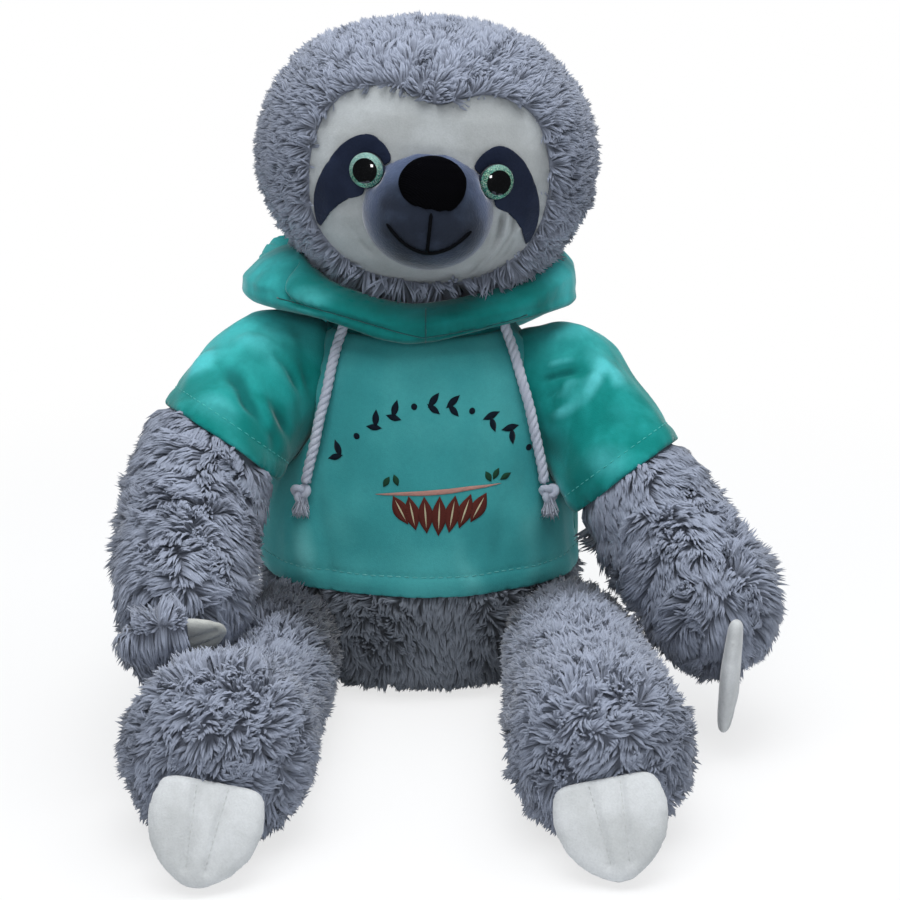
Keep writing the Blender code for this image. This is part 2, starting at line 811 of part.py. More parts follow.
def make_leg(side):
    """The leg: rolled at the hip, full at the foot, and flat where it stands."""
    hip = Vector((side.sign * side.hip_across, -HIP_FORWARD, HIP_HEIGHT))
    stations = [
        (hip, LEG_ROOT_RADIUS),
        (side.thigh, THIGH_RADIUS),
        (side.shin, side.shin_radius),
        (side.foot, side.foot_radius),
    ]
    leg = limb(f"leg_{side.name}", limb_rings(stations), long_fur())
    far = 4 * BODY_HALF_WIDTH
    floor = helper(f"floor_{side.name}", box("floor", (-far, -far, -far), (far, far, 0)))
    combine(leg, floor, "DIFFERENCE")


def make_claws(name, claws):
    """Three tapered toes that are joined side by side, hanging from their sewn edge."""
    width = claws.toe_half_width
    toes = []
    for i, share in enumerate(TOE_LENGTH_SHARES):
        across = (i - 1) * 2 * width * TOE_SPACING_SHARE
        start = across * claws.slant
        end = width - claws.length * share
        middle = (start + end) / 2
        stations = [
            (Vector((across, 0, start)), width * TOE_ROOT_SHARE),
            (Vector((across, 0, middle)), width),
            (Vector((across * TOE_GATHER_SHARE, 0, end)), width * TOE_CLOSE_SHARE),
        ]
        rings = limb_rings(stations, steps=2, thickness_share=TOE_THICKNESS_SHARE)
        toes.append(loft(f"{name}_toe", rings, Vector((1, 0, 0)), TOE_SIDES))
    pad = piece(name, toes[1], cream_plush())
    pad.matrix_world = claws.place()
    for i in (0, 2):
        toe = helper(f"{name}_toe_{i}", toes[i])
        toe.matrix_world = claws.place()
        combine(pad, toe, "UNION")


def head_surface(across, up, forward_half, side_half, up_half, centre=(0, 0, 0)):
    """How far forward an ellipsoid lies at a place across and up."""
    x = (across - centre[0]) / side_half
    z = (up - centre[2]) / up_half
    return centre[1] - forward_half * math.sqrt(max(0.0, 1 - x * x - z * z))


def mirrored(shares):
    """A half outline, top to bottom on the right, closed with its mirror image."""
    inner = [(-x, y) for x, y in reversed(shares[1:-1])]
    return list(shares) + inner


def head_ellipsoid(name, grow):
    """The head's form without the pile over the face, grown by an amount."""
    size = grow - FACE_PILE
    return ellipsoid(
        name,
        HEAD_HALF_WIDTH + size,
        HEAD_HALF_DEPTH + size,
        HEAD_HALF_HEIGHT + size,
        HEAD_SEGMENTS,
        HEAD_RINGS,
    )


def muzzle_form(name, grow):
    """The muzzle's form, grown by an amount, in place on the head."""
    bm = bmesh.new()
    place = Matrix.Translation((0, -MUZZLE_FORWARD, -MUZZLE_DROP))
    halves = (MUZZLE_HALF_WIDTH + grow, MUZZLE_HALF_DEPTH + grow, MUZZLE_HALF_HEIGHT + grow)
    stretch = Matrix.Diagonal((*halves, 1))
    bmesh.ops.create_uvsphere(
        bm, u_segments=SMALL_SEGMENTS + 4, v_segments=SMALL_RINGS + 4, radius=1, matrix=place @ stretch
    )
    return mesh_of(name, bm)


def face_outline(grow):
    """The face panel's heart-topped outline, grown by an amount."""
    points = [
        (
            x * (FACE_HALF_WIDTH + grow),
            y * ((FACE_RISE if y > 0 else FACE_DROP) + grow),
        )
        for x, y in mirrored(FACE_SHARES)
    ]
    return smooth(points, closed=True)


def patch_outline(sign, grow):
    """An eye patch's outline about its eye, grown by an amount; sign is the side."""
    points = [
        (
            sign * (EYE_ACROSS + x * (PATCH_WIDTH + grow)),
            y * (PATCH_HEIGHT + grow) - EYE_DROP,
        )
        for x, y in PATCH_SHARES
    ]
    if sign < 0:
        points.reverse()
    return smooth(points, 2, closed=True)


def tube(name, points, diameter):
    """A closed square tube along the points, across the face."""
    rings = limb_rings([(Vector(p), diameter / 2) for p in points], steps=1)
    return loft(name, rings, Vector((0, 1, 0)), THREAD_SIDES)


def on_muzzle(across, up):
    """A point of the mouth's thread, just clear of the muzzle."""
    clear = MOUTH_THREAD / 2 + GAP
    centre = (0, -MUZZLE_FORWARD, -MUZZLE_DROP)
    halves = (MUZZLE_HALF_DEPTH + clear, MUZZLE_HALF_WIDTH + clear, MUZZLE_HALF_HEIGHT + clear)
    return (across, head_surface(across, up, *halves, centre), up)


def make_head():
    """The head, and everything that is sewn or fixed to it, all under one tilted empty."""
    pose = bpy.data.objects.new("head_pose", None)
    bpy.data.collections["plush_sloth"].objects.link(pose)
    pose.location = HEAD_CENTRE
    pose.rotation_euler = (0, HEAD_TILT, HEAD_YAW)
    bpy.context.view_layer.update()

    def held(obj):
        obj.parent = pose
        return obj

    skin = held(helper("skin", head_ellipsoid("skin", 0)))
    skin_seat = held(helper("skin_seat", head_ellipsoid("skin_seat", GAP)))
    face_form = held(helper("face_form", head_ellipsoid("face_form", FACE_THICKNESS)))
    patch_seat = held(helper("patch_seat", head_ellipsoid("patch_seat", FACE_THICKNESS + GAP)))
    patch_top = FACE_THICKNESS + GAP + PATCH_THICKNESS
    patch_form = held(helper("patch_form", head_ellipsoid("patch_form", patch_top)))
    deep = HEAD_HALF_DEPTH * 2

    head = held(piece("head", head_ellipsoid("head", FACE_PILE), long_fur()))
    recess = held(helper("face_recess", prism("face_recess", face_outline(GAP), deep)))
    recess.location = (0, -deep, 0)
    combine(recess, skin, "DIFFERENCE")
    combine(head, recess, "DIFFERENCE")
    far = 2 * BODY_HALF_WIDTH
    neck = helper("below_head", box("below_head", (-far, -far, 0), (far, far, NECK_TOP + GAP)))
    combine(head, neck, "DIFFERENCE")

    face = held(piece("face_panel", prism("face_panel", face_outline(0), deep), cream_plush()))
    face.location = (0, -deep, 0)
    combine(face, face_form, "INTERSECT")
    combine(face, skin_seat, "DIFFERENCE")

    muzzle = held(piece("muzzle", muzzle_form("muzzle", 0), slate_plush()))
    combine(muzzle, patch_seat, "DIFFERENCE")
    muzzle_room = held(helper("muzzle_room", muzzle_form("muzzle_room", GAP)))

    nose_mesh = ellipsoid("nose", NOSE_HALF_WIDTH, NOSE_HALF_DEPTH, NOSE_HALF_HEIGHT)
    nose = held(piece("nose", nose_mesh, black_cloth()))
    nose.location = (0, -NOSE_FORWARD, -NOSE_DROP)
    combine(nose, muzzle_room, "DIFFERENCE")

    make_mouth(held)
    for side in (RIGHT, LEFT):
        make_eye(side, held, head, face, muzzle, muzzle_room, patch_form, patch_seat, deep)


def make_mouth(held):
    """The stitched smile, and the seam that rises from its middle towards the nose."""
    middle = -MUZZLE_DROP - SMILE_DROP
    smile = []
    for i in range(MOUTH_POINTS + 1):
        share = 2 * i / MOUTH_POINTS - 1
        smile.append(on_muzzle(share * SMILE_HALF_WIDTH, middle + SMILE_LIFT * share * share))
    mouth = held(piece("mouth_stitching", tube("mouth_stitching", smile, MOUTH_THREAD), black_cloth()))
    count = MOUTH_POINTS // 2
    seam_points = [on_muzzle(0, middle + SEAM_RISE * i / count) for i in range(count + 1)]
    seam = held(helper("mouth_seam", tube("mouth_seam", seam_points, MOUTH_THREAD)))
    combine(mouth, seam, "UNION")


def make_eye(side, held, head, face, muzzle, muzzle_room, patch_form, patch_seat, deep):
    """One eye with its patch, its stem and the washer that grips the stem inside the head."""
    patch_mesh = prism("eye_patch", patch_outline(side.sign, 0), deep)
    patch = held(piece(f"eye_patch_{side.name}", patch_mesh, slate_plush()))
    patch.location = (0, -deep, 0)
    combine(patch, patch_form, "INTERSECT")
    combine(patch, patch_seat, "DIFFERENCE")
    combine(patch, muzzle_room, "DIFFERENCE")

    across, up = side.sign * EYE_ACROSS, -EYE_DROP
    grow = FACE_THICKNESS + PATCH_THICKNESS + 2 * GAP - FACE_PILE
    halves = (HEAD_HALF_DEPTH + grow, HEAD_HALF_WIDTH + grow, HEAD_HALF_HEIGHT + grow)
    seat = Vector((across, head_surface(across, up, *halves), up))
    outward = Vector((side.sign * math.sin(EYE_OUTWARD), -math.cos(EYE_OUTWARD), 0))
    turned = outward.to_track_quat("Z", "Y").to_matrix().to_4x4()
    faced = Matrix.Translation(seat + outward * EYE_RIM) @ turned

    dome_points = [
        (EYE_RADIUS * math.sin(a), EYE_DOME * math.cos(a) + EYE_RIM)
        for a in [math.radians(d) for d in (0, 15, 30, 45, 60, 75, 90)]
    ]
    stem = [(STEM_RADIUS, 0), (STEM_RADIUS, -STEM_LENGTH), (0, -STEM_LENGTH)]
    eye_line = profile("eye", dome_points + [(EYE_RADIUS, 0)] + stem)
    eye = held(piece(f"eye_{side.name}", eye_line, eye_plastic()))
    turn(eye, SMALL_TURN_SIDES)
    eye.matrix_local = faced

    inner, thick = STEM_RADIUS + GAP, WASHER_THICKNESS
    ring = [(WASHER_RADIUS, thick), (WASHER_RADIUS, 0), (inner, 0), (inner, thick)]
    washer_line = profile("eye_washer", ring, closed=True)
    washer = held(piece(f"eye_washer_{side.name}", washer_line, washer_plastic()))
    turn(washer, SMALL_TURN_SIDES)
    washer.matrix_local = faced @ Matrix.Translation((0, 0, -WASHER_DEPTH - thick))

    bore_form = cylinder("stem_bore", inner, STEM_LENGTH + EYE_RADIUS + GAP)
    bore = held(helper(f"stem_bore_{side.name}", bore_form))
    bore.matrix_local = faced @ Matrix.Translation((0, 0, -STEM_LENGTH - GAP))
    pocket_form = cylinder("washer_pocket", WASHER_RADIUS + GAP, thick + 2 * GAP)
    pocket = held(helper(f"washer_pocket_{side.name}", pocket_form))
    pocket.matrix_local = faced @ Matrix.Translation((0, 0, -WASHER_DEPTH - thick - GAP))
    socket = held(helper(f"eye_room_{side.name}", cylinder("eye_room", EYE_RADIUS + GAP, 2 * EYE_RADIUS)))
    socket.matrix_local = faced @ Matrix.Translation((0, 0, -GAP))
    for obj in (head, face, patch):
        combine(obj, bore, "DIFFERENCE")
    combine(head, pocket, "DIFFERENCE")
    for obj in (face, patch, muzzle):
        combine(obj, socket, "DIFFERENCE")


def main():
    start_scene()
    make_body()
    make_hood()
    make_head()
    for side in (RIGHT, LEFT):
        make_drawstring(side)
        make_arm(side)
        make_leg(side)
        make_claws(f"hand_claws_{side.name}", side.hand_claws)
        make_claws(f"foot_claws_{side.name}", side.foot_claws)


if __name__ == "__main__":
    main()
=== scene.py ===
"""Looks of the plush sloth: fur, plush, velour, stitching and eyes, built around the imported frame.

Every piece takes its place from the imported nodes: a soft node's mesh is copied, made dense and
smooth, and dressed. Fur is real strands, grown from the copy and kept clear of what lies over it.
"""

from __future__ import annotations

import logging
import math
from collections.abc import Callable, Sequence
from dataclasses import dataclass, field, replace
from enum import Enum

import bmesh
import bpy
import numpy as np
from mathutils import Matrix, Vector
from mathutils.bvhtree import BVHTree
from mathutils.kdtree import KDTree

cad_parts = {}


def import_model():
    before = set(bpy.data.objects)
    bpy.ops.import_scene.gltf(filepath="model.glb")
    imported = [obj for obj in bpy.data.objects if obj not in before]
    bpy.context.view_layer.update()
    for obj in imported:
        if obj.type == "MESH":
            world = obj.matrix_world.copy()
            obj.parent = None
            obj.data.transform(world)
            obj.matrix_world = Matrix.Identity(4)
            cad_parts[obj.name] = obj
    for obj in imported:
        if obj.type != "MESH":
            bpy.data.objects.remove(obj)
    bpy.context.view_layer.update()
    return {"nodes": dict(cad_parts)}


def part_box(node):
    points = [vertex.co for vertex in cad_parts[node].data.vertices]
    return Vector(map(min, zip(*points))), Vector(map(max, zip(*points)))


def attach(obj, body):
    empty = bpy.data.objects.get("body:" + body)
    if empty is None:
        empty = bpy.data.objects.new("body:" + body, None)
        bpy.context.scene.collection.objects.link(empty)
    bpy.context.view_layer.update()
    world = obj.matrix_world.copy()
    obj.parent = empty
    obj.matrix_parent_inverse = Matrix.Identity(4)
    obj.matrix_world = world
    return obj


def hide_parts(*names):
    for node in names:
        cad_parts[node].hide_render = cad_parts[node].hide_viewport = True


LOG = logging.getLogger("plush_sloth")
MM = 0.001
IN_FRONT = -0.3  # lines of sight start here, in front of the face and the top
Colour = tuple[float, float, float]
Points = np.ndarray  # one row a point
Form, Vert, Edge = bmesh.types.BMesh, bmesh.types.BMVert, bmesh.types.BMEdge
Mesh, Thing, Material, World = bpy.types.Mesh, bpy.types.Object, bpy.types.Material, bpy.types.World


def linear(red: float, green: float, blue: float) -> Colour:
    """Turns a colour of 0 to 255, as seen, into the linear light that shaders take."""
    shares = (value / 255 for value in (red, green, blue))
    return tuple(
        share / 12.92 if share <= 0.04045 else ((share + 0.055) / 1.055) ** 2.4
        for share in shares
    )


# Shader maths


def operator(operation: str) -> Callable[[Wire, Wire | float], Wire]:
    """Makes one of Python's operators from a Math node's operation."""
    return lambda wire, other: wire.maths(operation, other)


def swapped(operation: str) -> Callable[[Wire, float], Wire]:
    """Makes the same operator with a plain number before the wire."""
    return lambda wire, other: wire.maths(operation, other, {0: other, 1: wire})


class Wire:
    """A value, colour or vector in a material, which Python's own operators work on."""

    def __init__(self, paint: Paint, socket: bpy.types.NodeSocket) -> None:
        """Keeps the paint that the wire belongs to and the socket that it starts from."""
        self.paint = paint
        self.socket = socket

    def maths(self, operation: str, other: Wire | float, inputs: dict | None = None) -> Wire:
        """Adds a Math node that works on this value and the other, in that order unless inputs say more."""
        return self.paint.node("ShaderNodeMath", {"operation": operation}, inputs or {0: self, 1: other})

    __add__, __radd__ = operator("ADD"), swapped("ADD")
    __sub__, __rsub__ = operator("SUBTRACT"), swapped("SUBTRACT")
    __mul__, __rmul__ = operator("MULTIPLY"), swapped("MULTIPLY")

    def between(self, low: float, high: float) -> Wire:
        """A smooth rise from 0 at low to 1 at high."""
        settings = {"interpolation_type": "SMOOTHSTEP"}
        inputs = {"Value": self, "From Min": low, "From Max": high}
        return self.paint.node("ShaderNodeMapRange", settings, inputs)


class Paint:
    """One material or world, with the few ways that this script adds nodes to it."""

    def __init__(self, name: str, kind: str = "Material") -> None:
        """Starts with no nodes.

        Args:
            name: The finish, in a maker's words.
            kind: Material or World.
        """
        kinds = bpy.data.materials if kind == "Material" else bpy.data.worlds
        self.made = kinds.new(name)
        self.made.use_nodes = True
        self.kind = kind
        self.tree = self.made.node_tree
        self.tree.nodes.clear()

    def node(
        self,
        kind: str,
        settings: dict | None = None,
        inputs: dict | None = None,
        output: int | str = 0,
    ) -> Wire:
        """Adds a node.

        Args:
            kind: Blender's name for the node.
            settings: Its properties, set first; "stops" are a ramp's places and colours.
            inputs: A value, colour or wire for each named or numbered socket.
            output: The socket that the result comes from.

        Returns:
            The wire from that socket.
        """
        made = self.tree.nodes.new(kind)
        for key, value in (settings or {}).items():
            if key == "stops":
                ramp = made.color_ramp
                while len(ramp.elements) < len(value):
                    ramp.elements.new(0.5)
                for element, (place, colour) in zip(ramp.elements, value):
                    element.position = place
                    element.color = (*linear(*colour), 1)
            else:
                setattr(made, key, value)
        for key, value in (inputs or {}).items():
            socket = made.inputs[key]
            if isinstance(value, Wire):
                self.tree.links.new(value.socket, socket)
            elif isinstance(value, tuple) and len(value) == 3 and socket.type == "RGBA":
                socket.default_value = (*linear(*value), 1)
            else:
                socket.default_value = value
        return Wire(self, made.outputs[output])

    def place(self, stretch: Colour = (1, 1, 1)) -> Wire:
        """Object coordinates, stretched."""
        own = self.node("ShaderNodeTexCoord", output="Object")
        return self.node("ShaderNodeMapping", None, {"Vector": own, "Scale": stretch})

    def away_from(self, middle: Colour) -> Wire:
        """How far each point lies from a place."""
        own = self.node("ShaderNodeTexCoord", output="Object")
        off = self.node("ShaderNodeVectorMath", {"operation": "SUBTRACT"}, {0: own, 1: middle})
        return self.node("ShaderNodeVectorMath", {"operation": "LENGTH"}, {0: off}, output=1)

    def part(self, whole: Wire, index: int) -> Wire:
        """One number of a vector or colour."""
        return self.node("ShaderNodeSeparateXYZ", None, {0: whole}, output=index)

    def noise(self, scale: float, detail: float = 2, where: Wire | None = None) -> Wire:
        """Cloudy noise about 0.5, with scale in clouds to a metre."""
        inputs = {"Vector": where or self.place(), "Scale": scale, "Detail": detail}
        return self.node("ShaderNodeTexNoise", None, inputs)

    def cells(self, scale: float, output: str = "Distance") -> Wire:
        """Voronoi cells, with scale in cells to a metre."""
        return self.node("ShaderNodeTexVoronoi", None, {"Vector": self.place(), "Scale": scale}, output)

    def mix(self, share: Wire | float, first: Wire | Colour, second: Wire | Colour) -> Wire:
        """Goes from the first colour to the second as share goes from 0 to 1."""
        settings = {"data_type": "RGBA"}
        inputs = {0: share, 6: first, 7: second}
        return self.node("ShaderNodeMix", settings, inputs, output=2)

    def shade(self, colour: Wire | Colour, amount: Wire) -> Wire:
        """Makes a colour lighter or darker by an amount about 1."""
        settings = {"operation": "SCALE"}
        inputs = {0: colour if isinstance(colour, Wire) else self.flat(colour), 3: amount}
        return self.node("ShaderNodeVectorMath", settings, inputs)

    def flat(self, colour: Colour) -> Wire:
        """One colour as a wire."""
        made = self.tree.nodes.new("ShaderNodeRGB")
        made.outputs[0].default_value = (*linear(*colour), 1)
        return Wire(self, made.outputs[0])

    def bump(self, height: Wire, distance: float, strength: float = 1.0) -> Wire:
        """Turns a height of 0 to 1 into a normal, with distance in metres."""
        inputs = {"Height": height, "Distance": distance, "Strength": strength}
        return self.node("ShaderNodeBump", None, inputs)

    def finish(self, colour: Wire | Colour, **sockets: Wire | float | Colour) -> Material:
        """Ends the material in one Principled shader.

        Args:
            colour: The base colour.
            **sockets: Its other sockets, with _ for a space.

        Returns:
            The finished material.
        """
        inputs = {"Base Color": colour}
        inputs.update({key.replace("_", " "): value for key, value in sockets.items()})
        return self.end(self.node("ShaderNodeBsdfPrincipled", None, inputs))

    def end(self, shader: Wire) -> Material | World:
        """Links a shader to the output, and gives what is painted."""
        made = self.tree.nodes.new(f"ShaderNodeOutput{self.kind}")
        self.tree.links.new(shader.socket, made.inputs["Surface"])
        return self.made


# Finishes


@dataclass(frozen=True)
class FurFinish:
    """Long pile: dark where it is sewn in and pale at its tips, a little different in each strand, and with
    painted shade near a place where one is given.
    """

    name: str
    root: Colour
    middle: Colour
    tip: Colour
    painted_shade: tuple[Colour, float, float, float] | None = None  # painted shade near a place: middle, inner and outer reach, share

    def material(self) -> Material:
        """Builds the fur's material, which reads each strand's own map."""
        paint = Paint(self.name)
        own_map = paint.node("ShaderNodeUVMap", {"uv_map": FUR_MAP})
        strand, along = paint.part(own_map, 0), paint.part(own_map, 1)
        lower = paint.mix(along.between(0.05, 0.5), self.root, self.middle)
        colour = paint.mix(along.between(0.45, 1.0), lower, self.tip)
        clouds = paint.noise(22, 1)
        amount = 0.78 + 0.2 * strand + 0.28 * clouds
        # painted shade: darker near a given middle point
        if self.painted_shade:
            middle, inner, outer, share = self.painted_shade
            amount = amount * (1 - share * (1 - paint.away_from(middle).between(inner, outer)))
        return paint.finish(
            paint.shade(colour, amount),
            Roughness=0.66,
            Specular_IOR_Level=0.22,
            Sheen_Weight=0.22,
            Sheen_Roughness=0.45,
        )


@dataclass(frozen=True)
class PlushFinish:
    """Short pile: soft grain, nap that is brushed one way and another, and a sheen at its edges; where
    given, painted highlight on fold ridges and away from a place, and painted shade in fold grooves.
    """

    name: str
    colour: Colour
    brushed: Colour
    grain: float = 1100  # to a metre
    grain_height: float = 0.35 * MM
    patches: float = 34
    streaks: Colour = (1, 1, 1)
    sheen: float = 0.5
    roughness: float = 0.85
    ridge: Colour | None = None  # painted highlight where folds stand up
    groove: Colour | None = None  # painted shade down in the folds
    painted_highlight: tuple[Colour, float, float, Colour] | None = None  # painted highlight away from a middle: middle, inner and outer reach, colour

    def material(self) -> Material:
        """Builds the plush's material."""
        paint = Paint(self.name)
        nap = paint.noise(self.patches, 3, paint.place(stretch=self.streaks)).between(0.36, 0.66)
        grain = paint.noise(self.grain, 2)
        coarse = paint.noise(self.grain * 0.3, 2)
        colour = paint.mix(nap, self.colour, self.brushed)
        # painted highlight on fold ridges and painted shade in fold grooves, from how far the folds lift
        # the cloth
        if self.ridge and self.groove:
            lifted = paint.node("ShaderNodeAttribute", {"attribute_name": FOLD_MAP}, output="Fac")
            colour = paint.mix(lifted.between(0.1, 1.0) * (0.45 + 0.5 * nap), colour, self.ridge)
            colour = paint.mix((0 - lifted).between(0.1, 1.0) * 0.8, colour, self.groove)
        # painted highlight: paler away from a given middle point
        if self.painted_highlight:
            middle, inner, outer, pale = self.painted_highlight
            far = paint.away_from(middle).between(inner, outer)
            colour = paint.mix(far * (0.55 + 0.45 * nap), colour, pale)
        amount = 0.82 + 0.22 * grain + 0.14 * coarse
        height = grain * 0.65 + coarse * 0.35
        return paint.finish(
            paint.shade(colour, amount),
            Roughness=self.roughness,
            Specular_IOR_Level=0.2,
            Sheen_Weight=self.sheen,
            Sheen_Roughness=0.35,
            Normal=paint.bump(height, self.grain_height),
        )


@dataclass(frozen=True)
class ThreadFinish:
    """Spun thread or cord: fine fibres along it, with slight soiling."""

    name: str
    colour: Colour
    shadow: Colour
    roughness: float = 0.8
    fibres: float = 1500
    sheen: float = 0.3

    def material(self) -> Material:
        """Builds the thread's material."""
        paint = Paint(self.name)
        fibre = paint.noise(self.fibres, 3)
        soil = paint.noise(60, 2).between(0.35, 0.7)
        colour = paint.mix(soil * 0.5, self.colour, self.shadow)
        return paint.finish(
            paint.shade(colour, 0.84 + 0.3 * fibre),
            Roughness=self.roughness,
            Specular_IOR_Level=0.25,
            Sheen_Weight=self.sheen,
            Normal=paint.bump(fibre, 0.25 * MM),
        )


@dataclass(frozen=True)
class NoseFinish:
    """Black satin cloth with a fine slanting rib."""

    name: str
    colour: Colour
    glint: Colour

    def material(self) -> Material:
        """Builds the satin's material."""
        paint = Paint(self.name)
        settings = {"bands_direction": "DIAGONAL"}
        inputs = {"Vector": paint.place(), "Scale": 420.0, "Distortion": 0.6}
        ribs = paint.node("ShaderNodeTexWave", settings, inputs, output=1)
        grain = paint.noise(1500, 2)
        colour = paint.mix(ribs * 0.6 + grain * 0.3, self.colour, self.glint)
        return paint.finish(
            colour,
            Roughness=0.85,
            Specular_IOR_Level=0.06,
            Normal=paint.bump(ribs * 0.7 + grain * 0.3, 0.18 * MM),
        )


@dataclass(frozen=True)
class EyeFinish:
    """Clear domed plastic over glitter and a black pupil."""

    name: str
    pupil_share: float
    ring_share: float
    glitter: Sequence[tuple[float, Colour]]
    flakes: float = 3000

    def material(self) -> Material:
        """Builds the eye's material, which reads how far each point lies from the eye's axis."""
        paint = Paint(self.name)
        far = paint.node("ShaderNodeAttribute", {"attribute_name": EYE_RING}, output="Fac")
        spark = paint.cells(self.flakes, "Color")
        pick, tilt = paint.part(spark, 0), paint.part(spark, 1)
        flake = paint.node("ShaderNodeValToRGB", {"stops": self.glitter}, {"Fac": pick})
        glitter = paint.shade(flake, 0.5 + 0.8 * tilt)
        # painted glare: the glitter turns pale towards the top of the eye
        high = paint.part(paint.place(), 2)
        glitter = paint.mix(high.between(0.279, 0.290) * 0.55, glitter, (186, 228, 226))
        rim = far.between(self.ring_share - 0.02, self.ring_share + 0.02)
        pupil = far.between(self.pupil_share - 0.015, self.pupil_share + 0.015)
        inner = paint.mix(pupil, (3, 4, 6), glitter)
        colour = paint.mix(rim, inner, (14, 16, 22))
        shine = pupil * (1 - rim)
        return paint.finish(
            colour,
            Roughness=0.45,
            Specular_IOR_Level=0.1,
            Metallic=shine * 0.35,
            Coat_Weight=1.0,
            Coat_Roughness=0.02,
            Coat_IOR=2.3,
        )


HEM_HEIGHT = 60 * MM
HEM_BAND = 11 * MM
HALVINGS = 4  # how often a long edge may be halved
FUR_MAP = "OFBake"
EYE_RING = "from_axis"
# how far folds lift the cloth, which drives painted highlight on ridges and painted shade in grooves
FOLD_MAP = "nap"
FOLD_SCALE = 3 * MM

LONG_FUR = FurFinish(
    name="long_fur",
    root=(124, 130, 144),
    middle=(134, 141, 157),
    tip=(156, 164, 182),
)
# painted shade: a darker, less blue copy of the long fur for the torso under the top
SHADED_BELLY_FUR = replace(
    LONG_FUR,
    name="belly_fur_painted_shade",
    root=(98, 103, 110),
    middle=(116, 122, 132),
    tip=(136, 143, 154),
)
# painted shade on the thighs, darker near a point under the arm and top
SHADED_RIGHT_LEG_FUR = replace(LONG_FUR, name="right_leg_fur_painted_shade", painted_shade=((-0.060, -0.100, 0.060), 0.020, 0.058, 0.78))
SHADED_LEFT_LEG_FUR = replace(LONG_FUR, name="left_leg_fur_painted_shade", painted_shade=((0.072, -0.075, 0.052), 0.020, 0.056, 0.6))
CREAM_PLUSH = PlushFinish(
    name="cream_plush",
    colour=(164, 168, 169),
    brushed=(178, 183, 185),
    grain_height=0.22 * MM,
    sheen=0.35,
    # painted highlight on the cheek creases' ridges and painted shade in their grooves
    ridge=(196, 202, 204),
    groove=(112, 116, 116),
)
PAD_PLUSH = PlushFinish(
    name="pad_plush",
    colour=(188, 191, 192),
    brushed=(204, 207, 209),
    grain_height=0.3 * MM,
    sheen=0.4,
)
# painted shade: a darker copy of the pad plush for the right hand
SHADED_HAND_PAD_PLUSH = replace(PAD_PLUSH, name="hand_pad_plush_painted_shade", colour=(172, 174, 170), brushed=(190, 192, 188))
PATCH_PLUSH = PlushFinish(
    name="patch_plush",
    colour=(26, 34, 54),
    brushed=(37, 46, 68),
    grain=700,
    grain_height=0.5 * MM,
    sheen=0.35,
)
MUZZLE_PLUSH = PlushFinish(
    name="muzzle_plush",
    colour=(35, 42, 56),
    brushed=(50, 60, 78),
    grain=760,
    grain_height=0.35 * MM,
    patches=60,
    sheen=0.7,
    # painted highlight: the muzzle turns paler towards its rim
    painted_highlight=((0.0045, -0.104, 0.258), 0.022, 0.041, (84, 98, 130)),
)
MINT_VELOUR = PlushFinish(
    name="mint_velour",
    colour=(58, 149, 152),
    brushed=(72, 163, 165),
    grain=1600,
    grain_height=0.15 * MM,
    patches=22,
    sheen=0.3,
    # painted highlight on fold ridges and painted shade in fold grooves
    ridge=(116, 200, 200),
    groove=(38, 112, 116),
)
TEAL_VELOUR = PlushFinish(
    name="teal_velour",
    colour=(10, 124, 119),
    brushed=(34, 150, 147),
    grain=1600,
    grain_height=0.18 * MM,
    patches=50,
    streaks=(1, 1, 0.45),
    sheen=0.3,
    # painted highlight on fold ridges and painted shade in fold grooves
    ridge=(96, 198, 204),
    groove=(6, 92, 90),
    # painted highlight: paler on the high tops of the shoulders and sleeves, where the light falls
    painted_highlight=((0, -0.04, -0.4), 0.574, 0.606, (74, 196, 198)),
)
# painted shade: a darker copy of the teal velour for the hood under the chin, with painted highlight on its
# fold ridges and away from its front middle
SHADED_HOOD_VELOUR = replace(
    TEAL_VELOUR,
    name="hood_velour_painted_shade_and_highlight",
    colour=(8, 108, 104),
    brushed=(18, 124, 121),
    ridge=(96, 205, 208),
    painted_highlight=((0.0, -0.072, 0.195), 0.062, 0.098, (70, 192, 194)),
)
BLACK_SATIN = NoseFinish(name="black_satin", colour=(3, 3, 5), glint=(9, 9, 13))
WASHER_PLASTIC = ThreadFinish(name="washer_plastic", colour=(205, 205, 205), shadow=(180, 180, 180))
BLACK_THREAD = ThreadFinish(name="black_thread", colour=(6, 8, 14), shadow=(10, 12, 19), sheen=0)
MINT_THREAD = ThreadFinish(name="mint_thread", colour=(92, 178, 176), shadow=(70, 156, 156))
TEAL_THREAD = ThreadFinish(name="teal_thread", colour=(74, 190, 184), shadow=(44, 160, 156))
# dark seam thread, also laid along the hood's edge crease as painted shade
DARK_SEAM_AND_CREASE_SHADE = ThreadFinish(name="dark_seam_and_crease_shade", colour=(8, 84, 84), shadow=(6, 70, 72))
CREAM_THREAD = ThreadFinish(name="cream_thread", colour=(196, 198, 198), shadow=(150, 152, 154))
WHITE_COTTON = ThreadFinish(name="white_cotton", colour=(196, 200, 214), shadow=(160, 166, 184))
EYE_PLASTIC = EyeFinish(
    name="eye_plastic",
    pupil_share=0.69,
    ring_share=0.95,
    glitter=(
        (0.0, (12, 70, 66)),
        (0.3, (30, 128, 112)),
        (0.6, (96, 190, 160)),
        (0.85, (190, 226, 190)),
        (1.0, (240, 240, 230)),
    ),
)


# Mesh tools


def new_piece(name: str, mesh: Mesh, material: Material) -> Thing:
    """Links a mesh to the scene as a piece.

    Args:
        name: The piece's name.
        mesh: Its mesh, in the row frame.
        material: Its finish.

    Returns:
        The new object.
    """
    mesh.name = name
    mesh.materials.clear()
    mesh.materials.append(material)
    mesh.shade_smooth()
    made = bpy.data.objects.new(name, mesh)
    bpy.context.scene.collection.objects.link(made)
    return made


def mesh_from(form: Form) -> Mesh:
    """Turns a bmesh into a mesh and frees it."""
    mesh = bpy.data.meshes.new("form")
    form.to_mesh(mesh)
    form.free()
    return mesh


